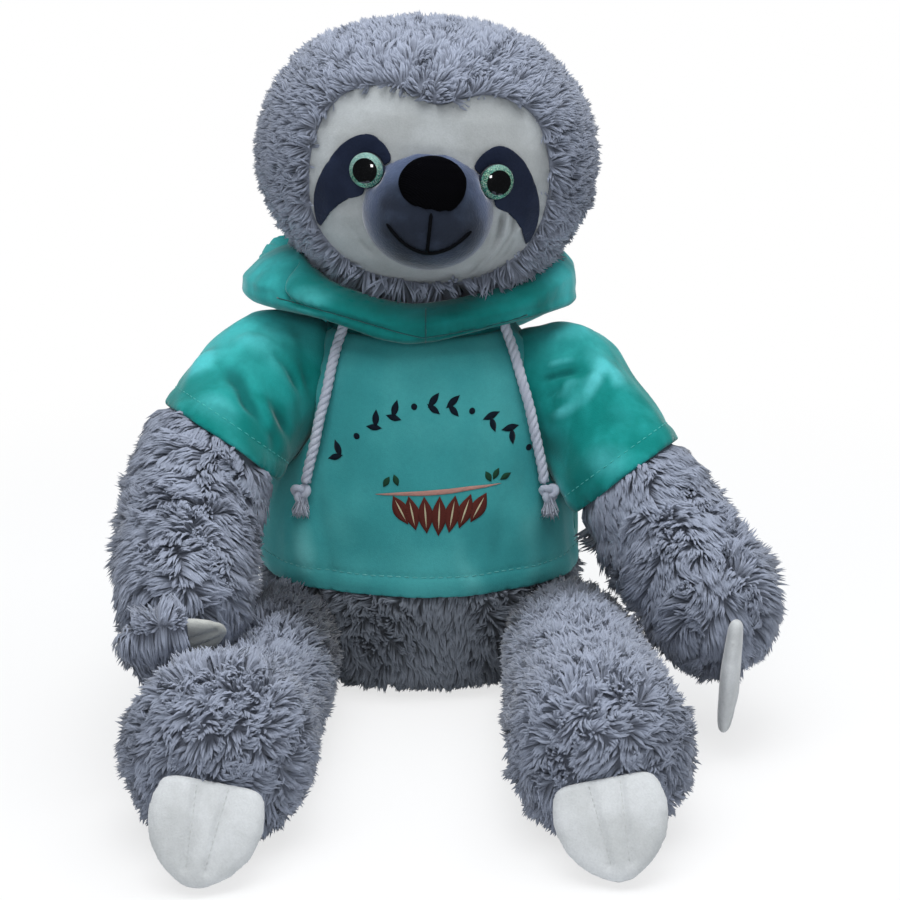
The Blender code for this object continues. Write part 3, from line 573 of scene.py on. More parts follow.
def coordinates(mesh: Mesh) -> Points:
    """A mesh's points, one row each."""
    found = np.zeros(len(mesh.vertices) * 3, np.float32)
    mesh.vertices.foreach_get("co", found)
    return found.reshape(-1, 3).astype(float)


def normals_of(mesh: Mesh) -> Points:
    """Which way is out at each of a mesh's points."""
    found = np.zeros(len(mesh.vertices) * 3, np.float32)
    mesh.vertex_normals.foreach_get("vector", found)
    return found.reshape(-1, 3)


def move(mesh: Mesh, points: Points) -> None:
    """Moves a mesh's points."""
    mesh.vertices.foreach_set("co", points.reshape(-1).astype(np.float32))
    mesh.update()


def soften(form: Form, rounds: int, verts: Sequence[Vert] | None = None) -> None:
    """Moves each of a form's points, or of the given ones, halfway to its neighbours' middle."""
    for _ in range(rounds):
        bmesh.ops.smooth_vert(
            form, verts=verts or form.verts, factor=0.5, use_axis_x=True, use_axis_y=True, use_axis_z=True
        )


def halve(form: Form, edge: float, rounds: int) -> None:
    """Halves a form's edges while they are longer than the given length, and leaves triangles."""
    for _ in range(rounds):
        long_edges = [e for e in form.edges if e.calc_length() > edge]
        bmesh.ops.subdivide_edges(form, edges=long_edges, cuts=1, use_grid_fill=True, use_single_edge=True)
        bmesh.ops.triangulate(form, faces=[f for f in form.faces if len(f.verts) > 3])


def draw_out(form: Form, edges: Sequence[Edge]) -> tuple[list[Vert], list[Edge]]:
    """Extrudes edges, and gives the new points and all the new edges."""
    drawn = bmesh.ops.extrude_edge_only(form, edges=edges)["geom"]
    verts = [g for g in drawn if isinstance(g, Vert)]
    return verts, [g for g in drawn if isinstance(g, Edge)]


def close(form: Form) -> None:
    """Closes a form's open edges."""
    bmesh.ops.holes_fill(form, edges=[e for e in form.edges if e.is_boundary])


def each(way: Sequence[float], points: Points) -> Points:
    """The same way at each of the points."""
    return np.tile(way, (len(points), 1))


def place_of(x: float, y: float, z: float) -> Vector:
    """A place that is given in millimetres."""
    return Vector((x, y, z)) * MM


def unit(vectors: Points) -> Points:
    """Vectors at a length of 1."""
    return vectors / np.maximum(np.linalg.norm(vectors, axis=-1, keepdims=True), 1e-9)


def swirl(points: Points, wave: float, seed: int) -> Points:
    """A smooth random vector at each point, the same in every run.

    Args:
        points: Where.
        wave: The distance over which it turns round.
        seed: Which of many such fields.

    Returns:
        One vector a point, about 1 long.
    """
    chance = np.random.default_rng(seed)
    total = np.zeros_like(points)
    for _ in range(6):
        heading = unit(chance.normal(size=3)) / (wave * chance.uniform(0.7, 1.5))
        phase = chance.uniform(0, 2 * math.pi, 3)
        total += np.sin((points @ heading)[:, None] * 2 * math.pi + phase) * 0.55
    return total


def merged(*nodes: Thing) -> Form:
    """Copies CAD nodes' meshes into one form, with their loose corners merged."""
    form = bmesh.new()
    for node in nodes:
        form.from_mesh(node.data)
    bmesh.ops.remove_doubles(form, verts=form.verts, dist=1e-5)
    return form


def dense_copy(node: Thing, edge: float, rounds: int) -> Form:
    """Copies a CAD node's mesh with short edges and soft corners.

    Args:
        node: The CAD node, which is left as it is.
        edge: The longest edge that is left.
        rounds: How often each point moves towards its neighbours.

    Returns:
        The copy, to be shaped further.
    """
    form = merged(node)
    halve(form, edge, HALVINGS)
    soften(form, rounds)
    return form


def even_net(form: Form, voxel: float, rounds: int, inwards: float = 0) -> Mesh:
    """Turns closed forms into one even net of small faces.

    Args:
        form: The forms, which may cross each other.
        voxel: The size of a face.
        rounds: How often each point moves towards its neighbours.
        inwards: How far the net lies under the forms' surface.

    Returns:
        The net as a mesh.
    """
    carrier = bpy.data.objects.new("carrier", mesh_from(form))
    bpy.context.scene.collection.objects.link(carrier)
    remesh = carrier.modifiers.new("net", "REMESH")
    remesh.mode = "VOXEL"
    remesh.voxel_size = voxel
    graph = bpy.context.evaluated_depsgraph_get()
    net = bpy.data.meshes.new_from_object(carrier.evaluated_get(graph))
    bpy.data.objects.remove(carrier)
    form = bmesh.new()
    form.from_mesh(net)
    soften(form, rounds)
    form.normal_update()
    for vert in form.verts:
        vert.co -= vert.normal * inwards
    return mesh_from(form)


def even_copy(node: Thing, voxel: float, rounds: int, inwards: float = 0) -> Mesh:
    """Copies a CAD node's mesh as an even net of small faces."""
    return even_net(merged(node), voxel, rounds, inwards)


def cut_off(form: Form, place: Vector, way: Vector) -> None:
    """Cuts a closed form at a plane, takes away what lies past it and closes the cut."""
    geom = [*form.verts, *form.edges, *form.faces]
    bmesh.ops.bisect_plane(form, geom=geom, plane_co=place, plane_no=way, clear_outer=True)
    close(form)


def tree_of(nodes: Sequence[Thing]) -> BVHTree:
    """One search tree over several objects' meshes."""
    points: list[Vector] = []
    faces: list[tuple[int, ...]] = []
    for node in nodes:
        first = len(points)
        points.extend(v.co.copy() for v in node.data.vertices)
        faces.extend(tuple(first + i for i in p.vertices) for p in node.data.polygons)
    return BVHTree.FromPolygons(points, faces)


@dataclass
class Template:
    """One small shape, made once with bmesh, that is then laid down many times."""

    points: Points
    faces: Points

    @classmethod
    def of(cls, form: Form) -> Template:
        """Reads a bmesh of triangles into a template and frees it."""
        bmesh.ops.triangulate(form, faces=form.faces)
        form.verts.index_update()
        points = np.array([v.co for v in form.verts], float)
        faces = np.array([[v.index for v in f.verts] for f in form.faces], int)
        form.free()
        return cls(points, faces)


def strand_template() -> Template:
    """A strand of fur: a thin three-sided spike, one unit long, drawn up from a ring in two steps."""
    form = bmesh.new()
    bmesh.ops.create_circle(form, segments=3, radius=1)
    ring = list(form.edges)
    for _ in range(2):
        verts, ring = draw_out(form, ring)
        bmesh.ops.translate(form, verts=verts, vec=(0, 0, 0.5))
    bmesh.ops.pointmerge(form, verts=verts, merge_co=(0, 0, 1))
    for vert in form.verts:
        vert.co.z = vert.co.z ** 0.5
    bmesh.ops.recalc_face_normals(form, faces=form.faces)
    return Template.of(form)


def stitch_template() -> Template:
    """A stitch: a short rounded bar along X, one unit long and one unit thick."""
    form = bmesh.new()
    bmesh.ops.create_uvsphere(form, u_segments=6, v_segments=5, radius=0.5)
    turn = Matrix.Rotation(math.pi / 2, 3, "Y")
    bmesh.ops.rotate(form, verts=form.verts, cent=(0, 0, 0), matrix=turn)
    return Template.of(form)


def lay_down(template: Template, placed: Points) -> Mesh:
    """Makes one mesh of many placed copies of a template.

    Args:
        template: The shape.
        placed: Each copy's points, as an array of copies by points by 3.

    Returns:
        The mesh.
    """
    count, size = placed.shape[:2]
    faces = (template.faces[None] + (np.arange(count) * size)[:, None, None]).reshape(-1, 3)
    mesh = bpy.data.meshes.new("copies")
    mesh.vertices.add(count * size)
    mesh.vertices.foreach_set("co", placed.reshape(-1).astype(np.float32))
    mesh.loops.add(len(faces) * 3)
    mesh.loops.foreach_set("vertex_index", faces.reshape(-1).astype(np.int32))
    mesh.polygons.add(len(faces))
    mesh.polygons.foreach_set("loop_start", np.arange(0, len(faces) * 3, 3, dtype=np.int32))
    mesh.update(calc_edges=True)
    return mesh


def sew(points: Points, out: Points, thread: float, length: float) -> Mesh:
    """Lays a row of stitches along a line.

    Args:
        points: The line's points, one a stitch.
        out: Which way is off the cloth at each.
        thread: The thread's thickness.
        length: Each stitch's length.

    Returns:
        The stitches as one mesh.
    """
    along = unit(np.gradient(points, axis=0))
    out = unit(out - along * (out * along).sum(1, keepdims=True))
    beside = np.cross(out, along)
    template = stitch_template()
    local = template.points
    placed = (
        points[:, None]
        + along[:, None] * (local[None, :, 0:1] * length)
        + beside[:, None] * (local[None, :, 1:2] * thread)
        + out[:, None] * (local[None, :, 2:3] * thread)
    )
    return lay_down(template, placed)


# Fur


@dataclass
class Coat:
    """How the fur grows on one part of the body."""

    seed: int
    density: float  # strands to a square millimetre
    thickness: float  # a strand's radius at its middle
    pile: float = 11 * MM
    lean: float = 0.75
    curl: float = 0.5
    curl_wave: float = 42 * MM
    rough: float = 0.45  # how far neighbouring locks point apart
    rough_wave: float = 10 * MM
    lock: float = 3.0 * MM  # how far apart locks stand
    gather: float = 0.5  # how much a lock's strands come together
    buried: float = 4.4 * MM  # under cloth this near, no fur grows
    shyness: float = 0.55  # how far off its neighbours it starts to be shorter, as a share of the pile
    least_room: float = 0.16  # with room for less of its length, a strand is left out
    clearance: float = 1.2 * MM  # how far a strand's tip stays off its neighbours
    off_floor: float = 0.6 * MM
    comb: Callable[[Points, Points], Points] | None = None  # which way it is brushed at each root
    where: Callable[[Points], Points] | None = None  # tells which roots are kept
    longer: Callable[[Points], Points] | None = None  # how much longer the pile is at each root
    bold: Callable[[Points], Points] | None = None  # tells which roots keep their length all the same

    def grow(self, skin: Mesh, clear_of: BVHTree) -> tuple[Mesh, int]:
        """Grows the coat and joins it with its skin.

        Args:
            skin: The net that the fur is sewn to.
            clear_of: The solids that the fur keeps out of.

        Returns:
            The mesh of skin and strands, and the number of strands.
        """
        roots, out = self.roots(skin)
        heading = unit(out + self.lean * self.combed(roots, out))
        reach = self.room(roots, out, heading, clear_of)
        kept = reach > self.least_room
        if self.where:
            kept &= self.where(roots)
        roots, out, heading, reach = roots[kept], out[kept], heading[kept], reach[kept]
        strands = self.strands(roots, out, heading, reach)
        return self.joined(skin, strands, out), len(roots)

    def roots(self, skin: Mesh) -> tuple[Points, Points]:
        """Spreads the strands' roots evenly over the skin.

        Args:
            skin: The net.

        Returns:
            The roots, and which way is out at each.
        """
        chance = np.random.default_rng(self.seed)
        skin.calc_loop_triangles()
        co = coordinates(skin)
        normals = normals_of(skin)
        corners = np.zeros(len(skin.loop_triangles) * 3, np.int32)
        skin.loop_triangles.foreach_get("vertices", corners)
        corners = corners.reshape(-1, 3)
        a, b, c = (co[corners[:, i]] for i in range(3))
        areas = np.linalg.norm(np.cross(b - a, c - a), axis=1) / 2
        count = int(areas.sum() * self.density / MM**2)
        steps = (np.arange(count) + chance.random(count)) / count
        chosen = np.searchsorted(np.cumsum(areas) / areas.sum(), steps).clip(0, len(areas) - 1)
        u, v = chance.random((2, count))
        over = u + v > 1
        u[over], v[over] = 1 - u[over], 1 - v[over]
        w = 1 - u - v
        i, j, k = corners[chosen].T
        points = co[i] * w[:, None] + co[j] * u[:, None] + co[k] * v[:, None]
        out = normals[i] * w[:, None] + normals[j] * u[:, None] + normals[k] * v[:, None]
        return points, unit(out)

    def combed(self, roots: Points, out: Points) -> Points:
        """Finds which way the pile is brushed, along the skin.

        Args:
            roots: Where.
            out: Which way is out there.

        Returns:
            A vector along the skin at each root.
        """
        brushed = np.zeros_like(roots) if self.comb is None else self.comb(roots, out)
        brushed = brushed + self.curl * swirl(roots, self.curl_wave, self.seed + 50)
        brushed = brushed + self.rough * swirl(roots, self.rough_wave, self.seed + 90)
        brushed = brushed + 0.5 * self.rough * swirl(roots, self.rough_wave * 0.45, self.seed + 130)
        return brushed - out * (brushed * out).sum(1, keepdims=True)

    def room(self, roots: Points, out: Points, heading: Points, clear_of: BVHTree) -> Points:
        """Finds how much of its length each strand has room for.

        Args:
            roots: Where each starts.
            out: Which way is out.
            heading: Which way it points.
            clear_of: The solids that it keeps out of.

        Returns:
            The share of its length, one number a strand.
        """
        shares = np.ones(len(roots))
        for index, (root, away, way) in enumerate(zip(roots, out, heading)):
            start = Vector(root) - Vector(away) * 0.5 * MM
            hit = clear_of.ray_cast(start, Vector(away), self.pile * 0.8)[3]
            if hit is not None:
                shares[index] = 0 if hit < self.buried else min(1, hit / (self.pile * self.shyness))
            if shares[index] > 0 and self.shyness > 0.2:
                hit = clear_of.ray_cast(start, Vector(way), self.pile)[3]
                if hit is not None:
                    shares[index] = min(shares[index], max(0, hit - self.clearance) / self.pile)
        if self.bold:
            shares[self.bold(roots) & (shares > 0)] = 1
        return shares

    def strands(self, roots: Points, out: Points, heading: Points, reach: Points) -> Points:
        """Bends every strand towards its lock.

        Args:
            roots: Where each starts.
            out: Which way is out.
            heading: Which way it points.
            reach: The share of its length that it has room for.

        Returns:
            Each strand's points, as an array of strands by points by 3.
        """
        chance = np.random.default_rng(self.seed + 7)
        count = len(roots)
        every = max(1, int(self.density * (self.lock / MM) ** 2))
        leaders = chance.permutation(count)[: max(1, count // every)]
        search = KDTree(len(leaders))
        for place, leader in enumerate(leaders):
            search.insert(Vector(roots[leader]), place)
        search.balance()
        leader_of = leaders[[search.find(Vector(p))[1] for p in roots]]
        lock_length = chance.uniform(0.78, 1.12, count)[leader_of]
        length = self.pile * reach * lock_length * chance.uniform(0.86, 1.06, count)
        if self.longer:
            length = length * self.longer(roots)
        own_tip = roots + heading * length[:, None]
        lock_tip = roots[leader_of] + heading[leader_of] * length[:, None]
        gather = (self.gather * chance.uniform(0.7, 1.1, count))[:, None]
        tip = own_tip * (1 - gather) + lock_tip * gather
        middle = roots + (out * 0.62 + heading * 0.38) * (length * 0.5)[:, None]
        floor = self.thickness + self.off_floor
        tip[:, 2] = np.maximum(tip[:, 2], floor)
        middle[:, 2] = np.maximum(middle[:, 2], floor)
        template = strand_template()
        along = template.points[:, 2]
        share = along[None, :, None]
        line = roots[:, None] * (1 - share) ** 2 + tip[:, None] * share**2
        line = line + middle[:, None] * (2 * share * (1 - share))
        way = unit(tip - roots)
        beside = unit(np.cross(way, unit(chance.normal(size=(count, 3)))))
        across = np.cross(way, beside)
        taper = np.interp(along, (0, 0.7, 1), (0.8, 1, 0))
        width = self.thickness * (0.75 + 0.25 * reach[:, None]) * taper[None]
        width = width * chance.uniform(0.75, 1.15, count)[:, None]
        ring = template.points
        return (
            line
            + beside[:, None] * (ring[None, :, 0:1] * width[..., None])
            + across[:, None] * (ring[None, :, 1:2] * width[..., None])
        )

    def joined(self, skin: Mesh, strands: Points, out: Points) -> Mesh:
        """Joins skin and strands in one mesh, with the map that the fur's finish reads.

        Args:
            skin: The net.
            strands: Each strand's points.
            out: Which way is out of the skin at each strand.

        Returns:
            The joined mesh.
        """
        template = strand_template()
        mesh = lay_down(template, strands)
        chance = np.random.default_rng(self.seed + 11)
        own = np.repeat(chance.random(len(strands)), template.faces.size)
        along = np.tile(template.points[template.faces.reshape(-1), 2], len(strands))
        layer = mesh.uv_layers.new(name=FUR_MAP)
        layer.data.foreach_set("uv", np.stack((own, along), 1).reshape(-1).astype(np.float32))
        skin.uv_layers.new(name=FUR_MAP)
        skin.uv_layers[FUR_MAP].data.foreach_set(
            "uv", np.tile((0.4, 0.12), len(skin.loops)).astype(np.float32)
        )
        form = bmesh.new()
        form.from_mesh(skin)
        form.from_mesh(mesh)
        bpy.data.meshes.remove(mesh)
        made = mesh_from(form)
        own = normals_of(made)
        first = len(skin.vertices)
        own[first:] = unit(own[first:] * 0.4 + np.repeat(out, strands.shape[1], axis=0) * 0.6)
        made.normals_split_custom_set_from_vertices(own.tolist())
        return made


BODY_COAT = Coat(seed=3, density=0.5, thickness=0.72 * MM)
HEAD_COAT = Coat(
    seed=5,
    density=0.72,
    thickness=0.62 * MM,
    pile=8.2 * MM,
    lean=0.62,
    curl=0.15,
    rough=0.7,
    lock=3.4 * MM,
    buried=3.8 * MM,
    shyness=0.35,
)
ARM_COAT = Coat(
    seed=11,
    density=0.72,
    thickness=0.8 * MM,
    pile=15 * MM,
    lean=1.1,
    curl=0.25,
    rough=0.5,
    rough_wave=16 * MM,
    lock=6 * MM,
    gather=0.42,
    buried=1.2 * MM,
    shyness=0.15,
)
LEG_COAT = Coat(
    seed=17,
    density=0.58,
    thickness=0.82 * MM,
    pile=11.5 * MM,
    lean=0.8,
    curl=0.2,
    rough=0.8,
    rough_wave=12 * MM,
    lock=4.5 * MM,
    gather=0.42,
    shyness=0.4,
)
FRINGE_COAT = Coat(
    seed=41,
    density=1.3,
    thickness=0.7 * MM,
    pile=12 * MM,
    lean=1.1,
    curl=0.15,
    rough=0.3,
    lock=5 * MM,
    gather=0.45,
)


# Garment folds


def bell(values: Points, middle: float, width: float) -> Points:
    """A smooth bump of 1 at the middle, that fades over the width on both sides."""
    return np.exp(-(((values - middle) / width) ** 2))


@dataclass(frozen=True)
class Fold:
    """A ridge or a groove in cloth, from one point to another."""

    start: Colour
    end: Colour
    width: float
    height: float  # negative for a groove

    def lift(self, points: Points) -> Points:
        """How far the fold lifts each point.

        Args:
            points: Where.

        Returns:
            One height a point.
        """
        start, end = np.array(self.start), np.array(self.end)
        line = end - start
        share = (((points - start) @ line) / (line @ line)).clip(0, 1)
        far = np.linalg.norm(points - (start + share[:, None] * line), axis=1)
        fade = 1 - np.abs(share - 0.5) ** 3 * 5
        return self.height * bell(far, 0, self.width) * fade.clip(0, 1)


def folds(*rows: Sequence[float]) -> tuple[Fold, ...]:
    """Reads folds from rows of start, end, width and height, in millimetres."""
    scaled = (tuple(round(value * MM, 7) for value in row) for row in rows)
    return tuple(Fold(row[:3], row[3:6], *row[6:]) for row in scaled)


@dataclass(frozen=True)
class Draping:
    """How cloth moves in and out: by its folds, by small random ripples, and by hems and seams."""

    out_of: Callable[[Points], Points]  # which way is off the body at each point
    folds: Sequence[Fold]
    ripple: float
    wave: float
    seed: int
    bands: Callable[[Points], Points] | None = None  # what hems and seams add at each point

    def shape(self, form: Form) -> None:
        """Moves the cloth, and keeps how far folds lift it, from which its finish paints highlight on
        ridges and shade in grooves.
        """
        points = np.array([v.co for v in form.verts], float)
        lift = swirl(points, self.wave, self.seed)[:, 0] * self.ripple
        for fold in self.folds:
            lift = lift + fold.lift(points)
        shown = lift / FOLD_SCALE
        if self.bands:
            lift = lift + self.bands(points)
        moved = points + self.out_of(points) * lift[:, None]
        nap = form.verts.layers.float.new(FOLD_MAP)
        for vert, place, high in zip(form.verts, moved, shown):
            vert.co = place
            vert[nap] = high


def run_along(line: Points) -> Points:
    """How far along a line each of its points lies."""
    return np.concatenate(([0], np.cumsum(np.linalg.norm(np.diff(line, axis=0), axis=1))))


def spaced(points: Points, out: Points, step: float) -> tuple[Points, Points]:
    """Spreads points evenly along a line.

    Args:
        points: The line.
        out: A vector at each of its points.
        step: How far apart the new points are.

    Returns:
        The new points and the vectors there.
    """
    run = run_along(points)
    at = np.linspace(0, run[-1], max(2, int(run[-1] / step)))
    return (
        np.stack([np.interp(at, run, points[:, i]) for i in range(3)], 1),
        unit(np.stack([np.interp(at, run, out[:, i]) for i in range(3)], 1)),
    )


def found_from(tree: BVHTree, starts: Points, way: Points) -> tuple[Points, Points]:
    """Finds where lines of sight meet a surface.

    Args:
        tree: The surface.
        starts: Where each starts.
        way: Which way each looks.

    Returns:
        The points met and which way is out there. What meets nothing is left out.
    """
    points, out = [], []
    for start, look in zip(starts, way):
        place, normal, _, _ = tree.ray_cast(Vector(start), Vector(look))
        if place is not None:
            points.append(place)
            out.append(normal)
    return np.array(points, float).reshape(-1, 3), np.array(out, float).reshape(-1, 3)


def seen_on(tree: BVHTree, across: Points, up: Points) -> tuple[Points, Points]:
    """Finds where lines of sight from the front meet a surface."""
    starts = np.stack((across, np.full(len(across), IN_FRONT), up), 1)
    return found_from(tree, starts, each((0.0, 1.0, 0.0), starts))


def ring_round(tree: BVHTree, middle: Vector, axis: Vector, reach: float) -> tuple[Points, Points]:
    """Finds a ring on a surface, round an axis.

    Args:
        tree: The surface.
        middle: The ring's middle.
        axis: The way through the ring.
        reach: How far outside the search starts.

    Returns:
        The ring's points and which way is out there.
    """
    side = np.array(axis.orthogonal().normalized())
    other = np.cross(np.array(axis.normalized()), side)
    angles = np.linspace(0, 2 * math.pi, 240)
    ways = np.cos(angles)[:, None] * side + np.sin(angles)[:, None] * other
    return found_from(tree, np.array(middle) + ways * reach, -ways)


def tube_along(line: Points, radius: Points, sides: int) -> Form:
    """Draws a ring along a line into a closed tube.

    Args:
        line: The points of its middle.
        radius: Its radius at each of them.
        sides: How many sides it has.

    Returns:
        The tube.
    """
    form = bmesh.new()
    ring = bmesh.ops.create_circle(form, cap_ends=True, segments=sides, radius=1)["verts"]
    template = np.array([v.co for v in ring], float)
    edges = list(form.edges)
    along = unit(np.gradient(line, axis=0))
    side = unit(np.cross(along[0], (0.3, 0.9, 0.2)))
    for index, (place, way, wide) in enumerate(zip(line, along, radius)):
        side = unit(side - way * (side @ way))
        other = np.cross(way, side)
        if index:
            ring, edges = draw_out(form, edges)
            edges = [e for e in edges if e.is_boundary]
        for vert, (u, v, _) in zip(ring, template):
            vert.co = place + side * u * wide + other * v * wide
    close(form)
    bmesh.ops.recalc_face_normals(form, faces=form.faces)
    return form


# The toy's parts


class Side(Enum):
    """The toy's own sides."""

    RIGHT = "right"
    LEFT = "left"


@dataclass
class Frame:
    """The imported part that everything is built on."""

    nodes: dict[str, Thing]

    def others(self, *names: str) -> BVHTree:
        """A search tree over every node but the named ones and the washers inside the head."""
        left_out = {*names, "eye_washer_right", "eye_washer_left"}
        return tree_of([node for name, node in self.nodes.items() if name not in left_out])


def settle(piece: Thing, body: str, replaced: Sequence[str]) -> None:
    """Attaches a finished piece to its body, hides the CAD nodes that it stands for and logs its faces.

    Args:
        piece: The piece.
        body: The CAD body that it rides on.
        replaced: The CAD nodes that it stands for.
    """
    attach(piece, body)
    if replaced:
        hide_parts(*replaced)
    LOG.info("%s: %d faces on %s", piece.name, len(piece.data.polygons), body)


@dataclass
class FurryForms:
    """Body, head, arms and legs: skins with long fur."""

    frame: Frame
    voxel: float = 3.2 * MM
    under: float = 2.2 * MM
    face_middle: Vector = field(default_factory=lambda: place_of(4, -70, 268))
    crown: float = 336 * MM  # over this the head is flatter than its node
    crown_share: float = 0.68
    chin: float = 236 * MM  # under this the pile gets longer
    chin_pile: float = 14 * MM
    waist: float = HEM_HEIGHT + 12 * MM  # over this the top hides the body
    fringe_end: float = -107 * MM

    def down_belly(self, roots: Points, out: Points) -> Points:
        """Body: the pile runs down."""
        return each((0, -0.2, -0.9), roots)

    def under_top(self, roots: Points) -> Points:
        """Body: the pile grows below the top."""
        return roots[:, 2] < self.waist

    def over_pad(self, roots: Points, out: Points) -> Points:
        """Hand: the pile falls over the pad."""
        return each((0.15, -0.5, -0.85), roots)

    def on_hand(self, roots: Points) -> Points:
        """Hand: the pile stops short of the pad's tips."""
        return roots[:, 0] < self.fringe_end - 2 * MM

    def away_from_face(self, roots: Points, out: Points) -> Points:
        """Head: the pile is brushed away from the face and falls at the sides."""
        away = roots - np.array(self.face_middle)
        away[:, 1] *= 0.6
        return unit(away) + np.array((0, 0.1, -0.35))

    def bold_chin(self, roots: Points) -> Points:
        """Head: the pile keeps its length over the hood in front."""
        return (roots[:, 2] < self.chin - 2 * MM) & (roots[:, 1] < 10 * MM)

    def long_chin(self, roots: Points) -> Points:
        """Head: the pile is longer under the face."""
        return 1 + 1.2 * ((self.chin - roots[:, 2]) / self.chin_pile).clip(0, 1) * (roots[:, 1] < 0)

    def down_arm(self, side: Side) -> Callable[[Points, Points], Points]:
        """Arms: the pile runs down towards the hand."""
        cut = SLEEVES[side]
        way = np.array(cut.axis())

        def brushed(roots: Points, out: Points) -> Points:
            """Which way, at each root: along the sleeve near it, and further on down to the hand."""
            far = (cut.past(roots) / (40 * MM)).clip(0, 1)[:, None]
            return (way + np.array(cut.way)) * (1 - far) + np.array((0, -0.45, -0.75)) * far

        return brushed

    def over_leg(self, foot: Vector) -> Callable[[Points, Points], Points]:
        """Legs: the pile runs to the foot and falls away all round the sole."""

        def brushed(roots: Points, out: Points) -> Points:
            """Which way, at each root."""
            return each((0.0, -0.3, -0.4), roots) + 0.45 * unit(roots - np.array(foot))

        return brushed

    def fringe(self, fur: Material) -> None:
        """Hangs the hand's long fur over the pad under it, all but the pad's tips."""
        node = "hand_claws_right"
        skin = bmesh.new()
        skin.from_mesh(even_copy(self.frame.nodes[node], 2.6 * MM, 2, -0.6 * MM))
        cut_off(skin, Vector((self.fringe_end, 0, 0)), Vector((1, 0, 0)))
        coat = replace(FRINGE_COAT, comb=self.over_pad, where=self.on_hand)
        mesh, count = coat.grow(mesh_from(skin), self.frame.others(node, "arm_right"))
        settle(new_piece("right_hand_fringe", mesh, fur), node, [])
        LOG.info("right_hand_fringe has %d strands", count)

    def flatten(self, skin: Mesh) -> None:
        """Flattens the top of the head, as the photograph shows it."""
        points = coordinates(skin)
        high = points[:, 2] > self.crown
        points[high, 2] = self.crown + (points[high, 2] - self.crown) * self.crown_share
        move(skin, points)

    def coats(self) -> dict[str, Coat]:
        """The coat that grows on each node."""
        coats = {
            "torso": replace(BODY_COAT, comb=self.down_belly, where=self.under_top),
            "head": replace(
                HEAD_COAT, comb=self.away_from_face, bold=self.bold_chin, longer=self.long_chin
            ),
        }
        for side in Side:
            name = f"leg_{side.value}"
            low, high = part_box(name)
            foot = Vector(((low.x + high.x) / 2, low.y + 40 * MM, (low.z + high.z) / 2))
            down, where = self.down_arm(side), self.below_sleeve(side)
            coats[f"arm_{side.value}"] = replace(ARM_COAT, comb=down, where=where)
            coats[name] = replace(LEG_COAT, comb=self.over_leg(foot))
        return coats

    def build(self) -> None:
        """Grows every furry form."""
        fur = LONG_FUR.material()
        # painted shade: darker belly fur, and leg fur darkened near the thighs
        others = {
            "torso": SHADED_BELLY_FUR.material(),
            "leg_right": SHADED_RIGHT_LEG_FUR.material(),
            "leg_left": SHADED_LEFT_LEG_FUR.material(),
        }
        for node, coat in self.coats().items():
            skin = even_copy(self.frame.nodes[node], self.voxel, 3, self.under)
            if node == "head":
                self.flatten(skin)
            mesh, count = coat.grow(skin, self.frame.others(node, "hand_claws_right"))
            piece = new_piece(f"{node}_fur", mesh, others.get(node, fur))
            settle(piece, "root" if node == "torso" else node, [node])
            LOG.info("%s has %d strands", piece.name, count)
        self.fringe(fur)

    def below_sleeve(self, side: Side) -> Callable[[Points], Points]:
        """Tells which roots on an arm lie past its sleeve's hem."""
        cut = SLEEVES[side]

        def past_hem(roots: Points) -> Points:
            """Keeps the pile off the hem's inner front corner, and goes under the rest of it."""
            corner = (np.abs(roots[:, 0]) < 92 * MM) & (roots[:, 1] < -60 * MM)
            return cut.past(roots) > np.where(corner, 0.5, -2.5) * MM

        return past_hem


CHEEK_CREASES = folds(
    (42.5, -69.3, 260, 40, -63, 245, 2, -2.6),
    (40, -63, 245, 25.3, -48.6, 223.9, 2, -2.2),
    (45.6, -67.5, 259.5, 44.2, -62.2, 246.5, 1.8, 1.6),
    (44.2, -62.2, 246.5, 32.5, -53, 229, 1.8, 1.4),
    (49.2, -65.5, 259, 47.6, -61, 248, 1.8, -2),
    (47.6, -61, 248, 36.6, -53.2, 231.6, 1.8, -1.8),
    (52.5, -61, 255, 50, -58.5, 246, 1.8, 1.2),
    (50, -58.5, 246, 42, -50, 231, 2, -1.2),
    (-34.5, -69, 250, -23.9, -60, 237, 2.6, -1.4),
)


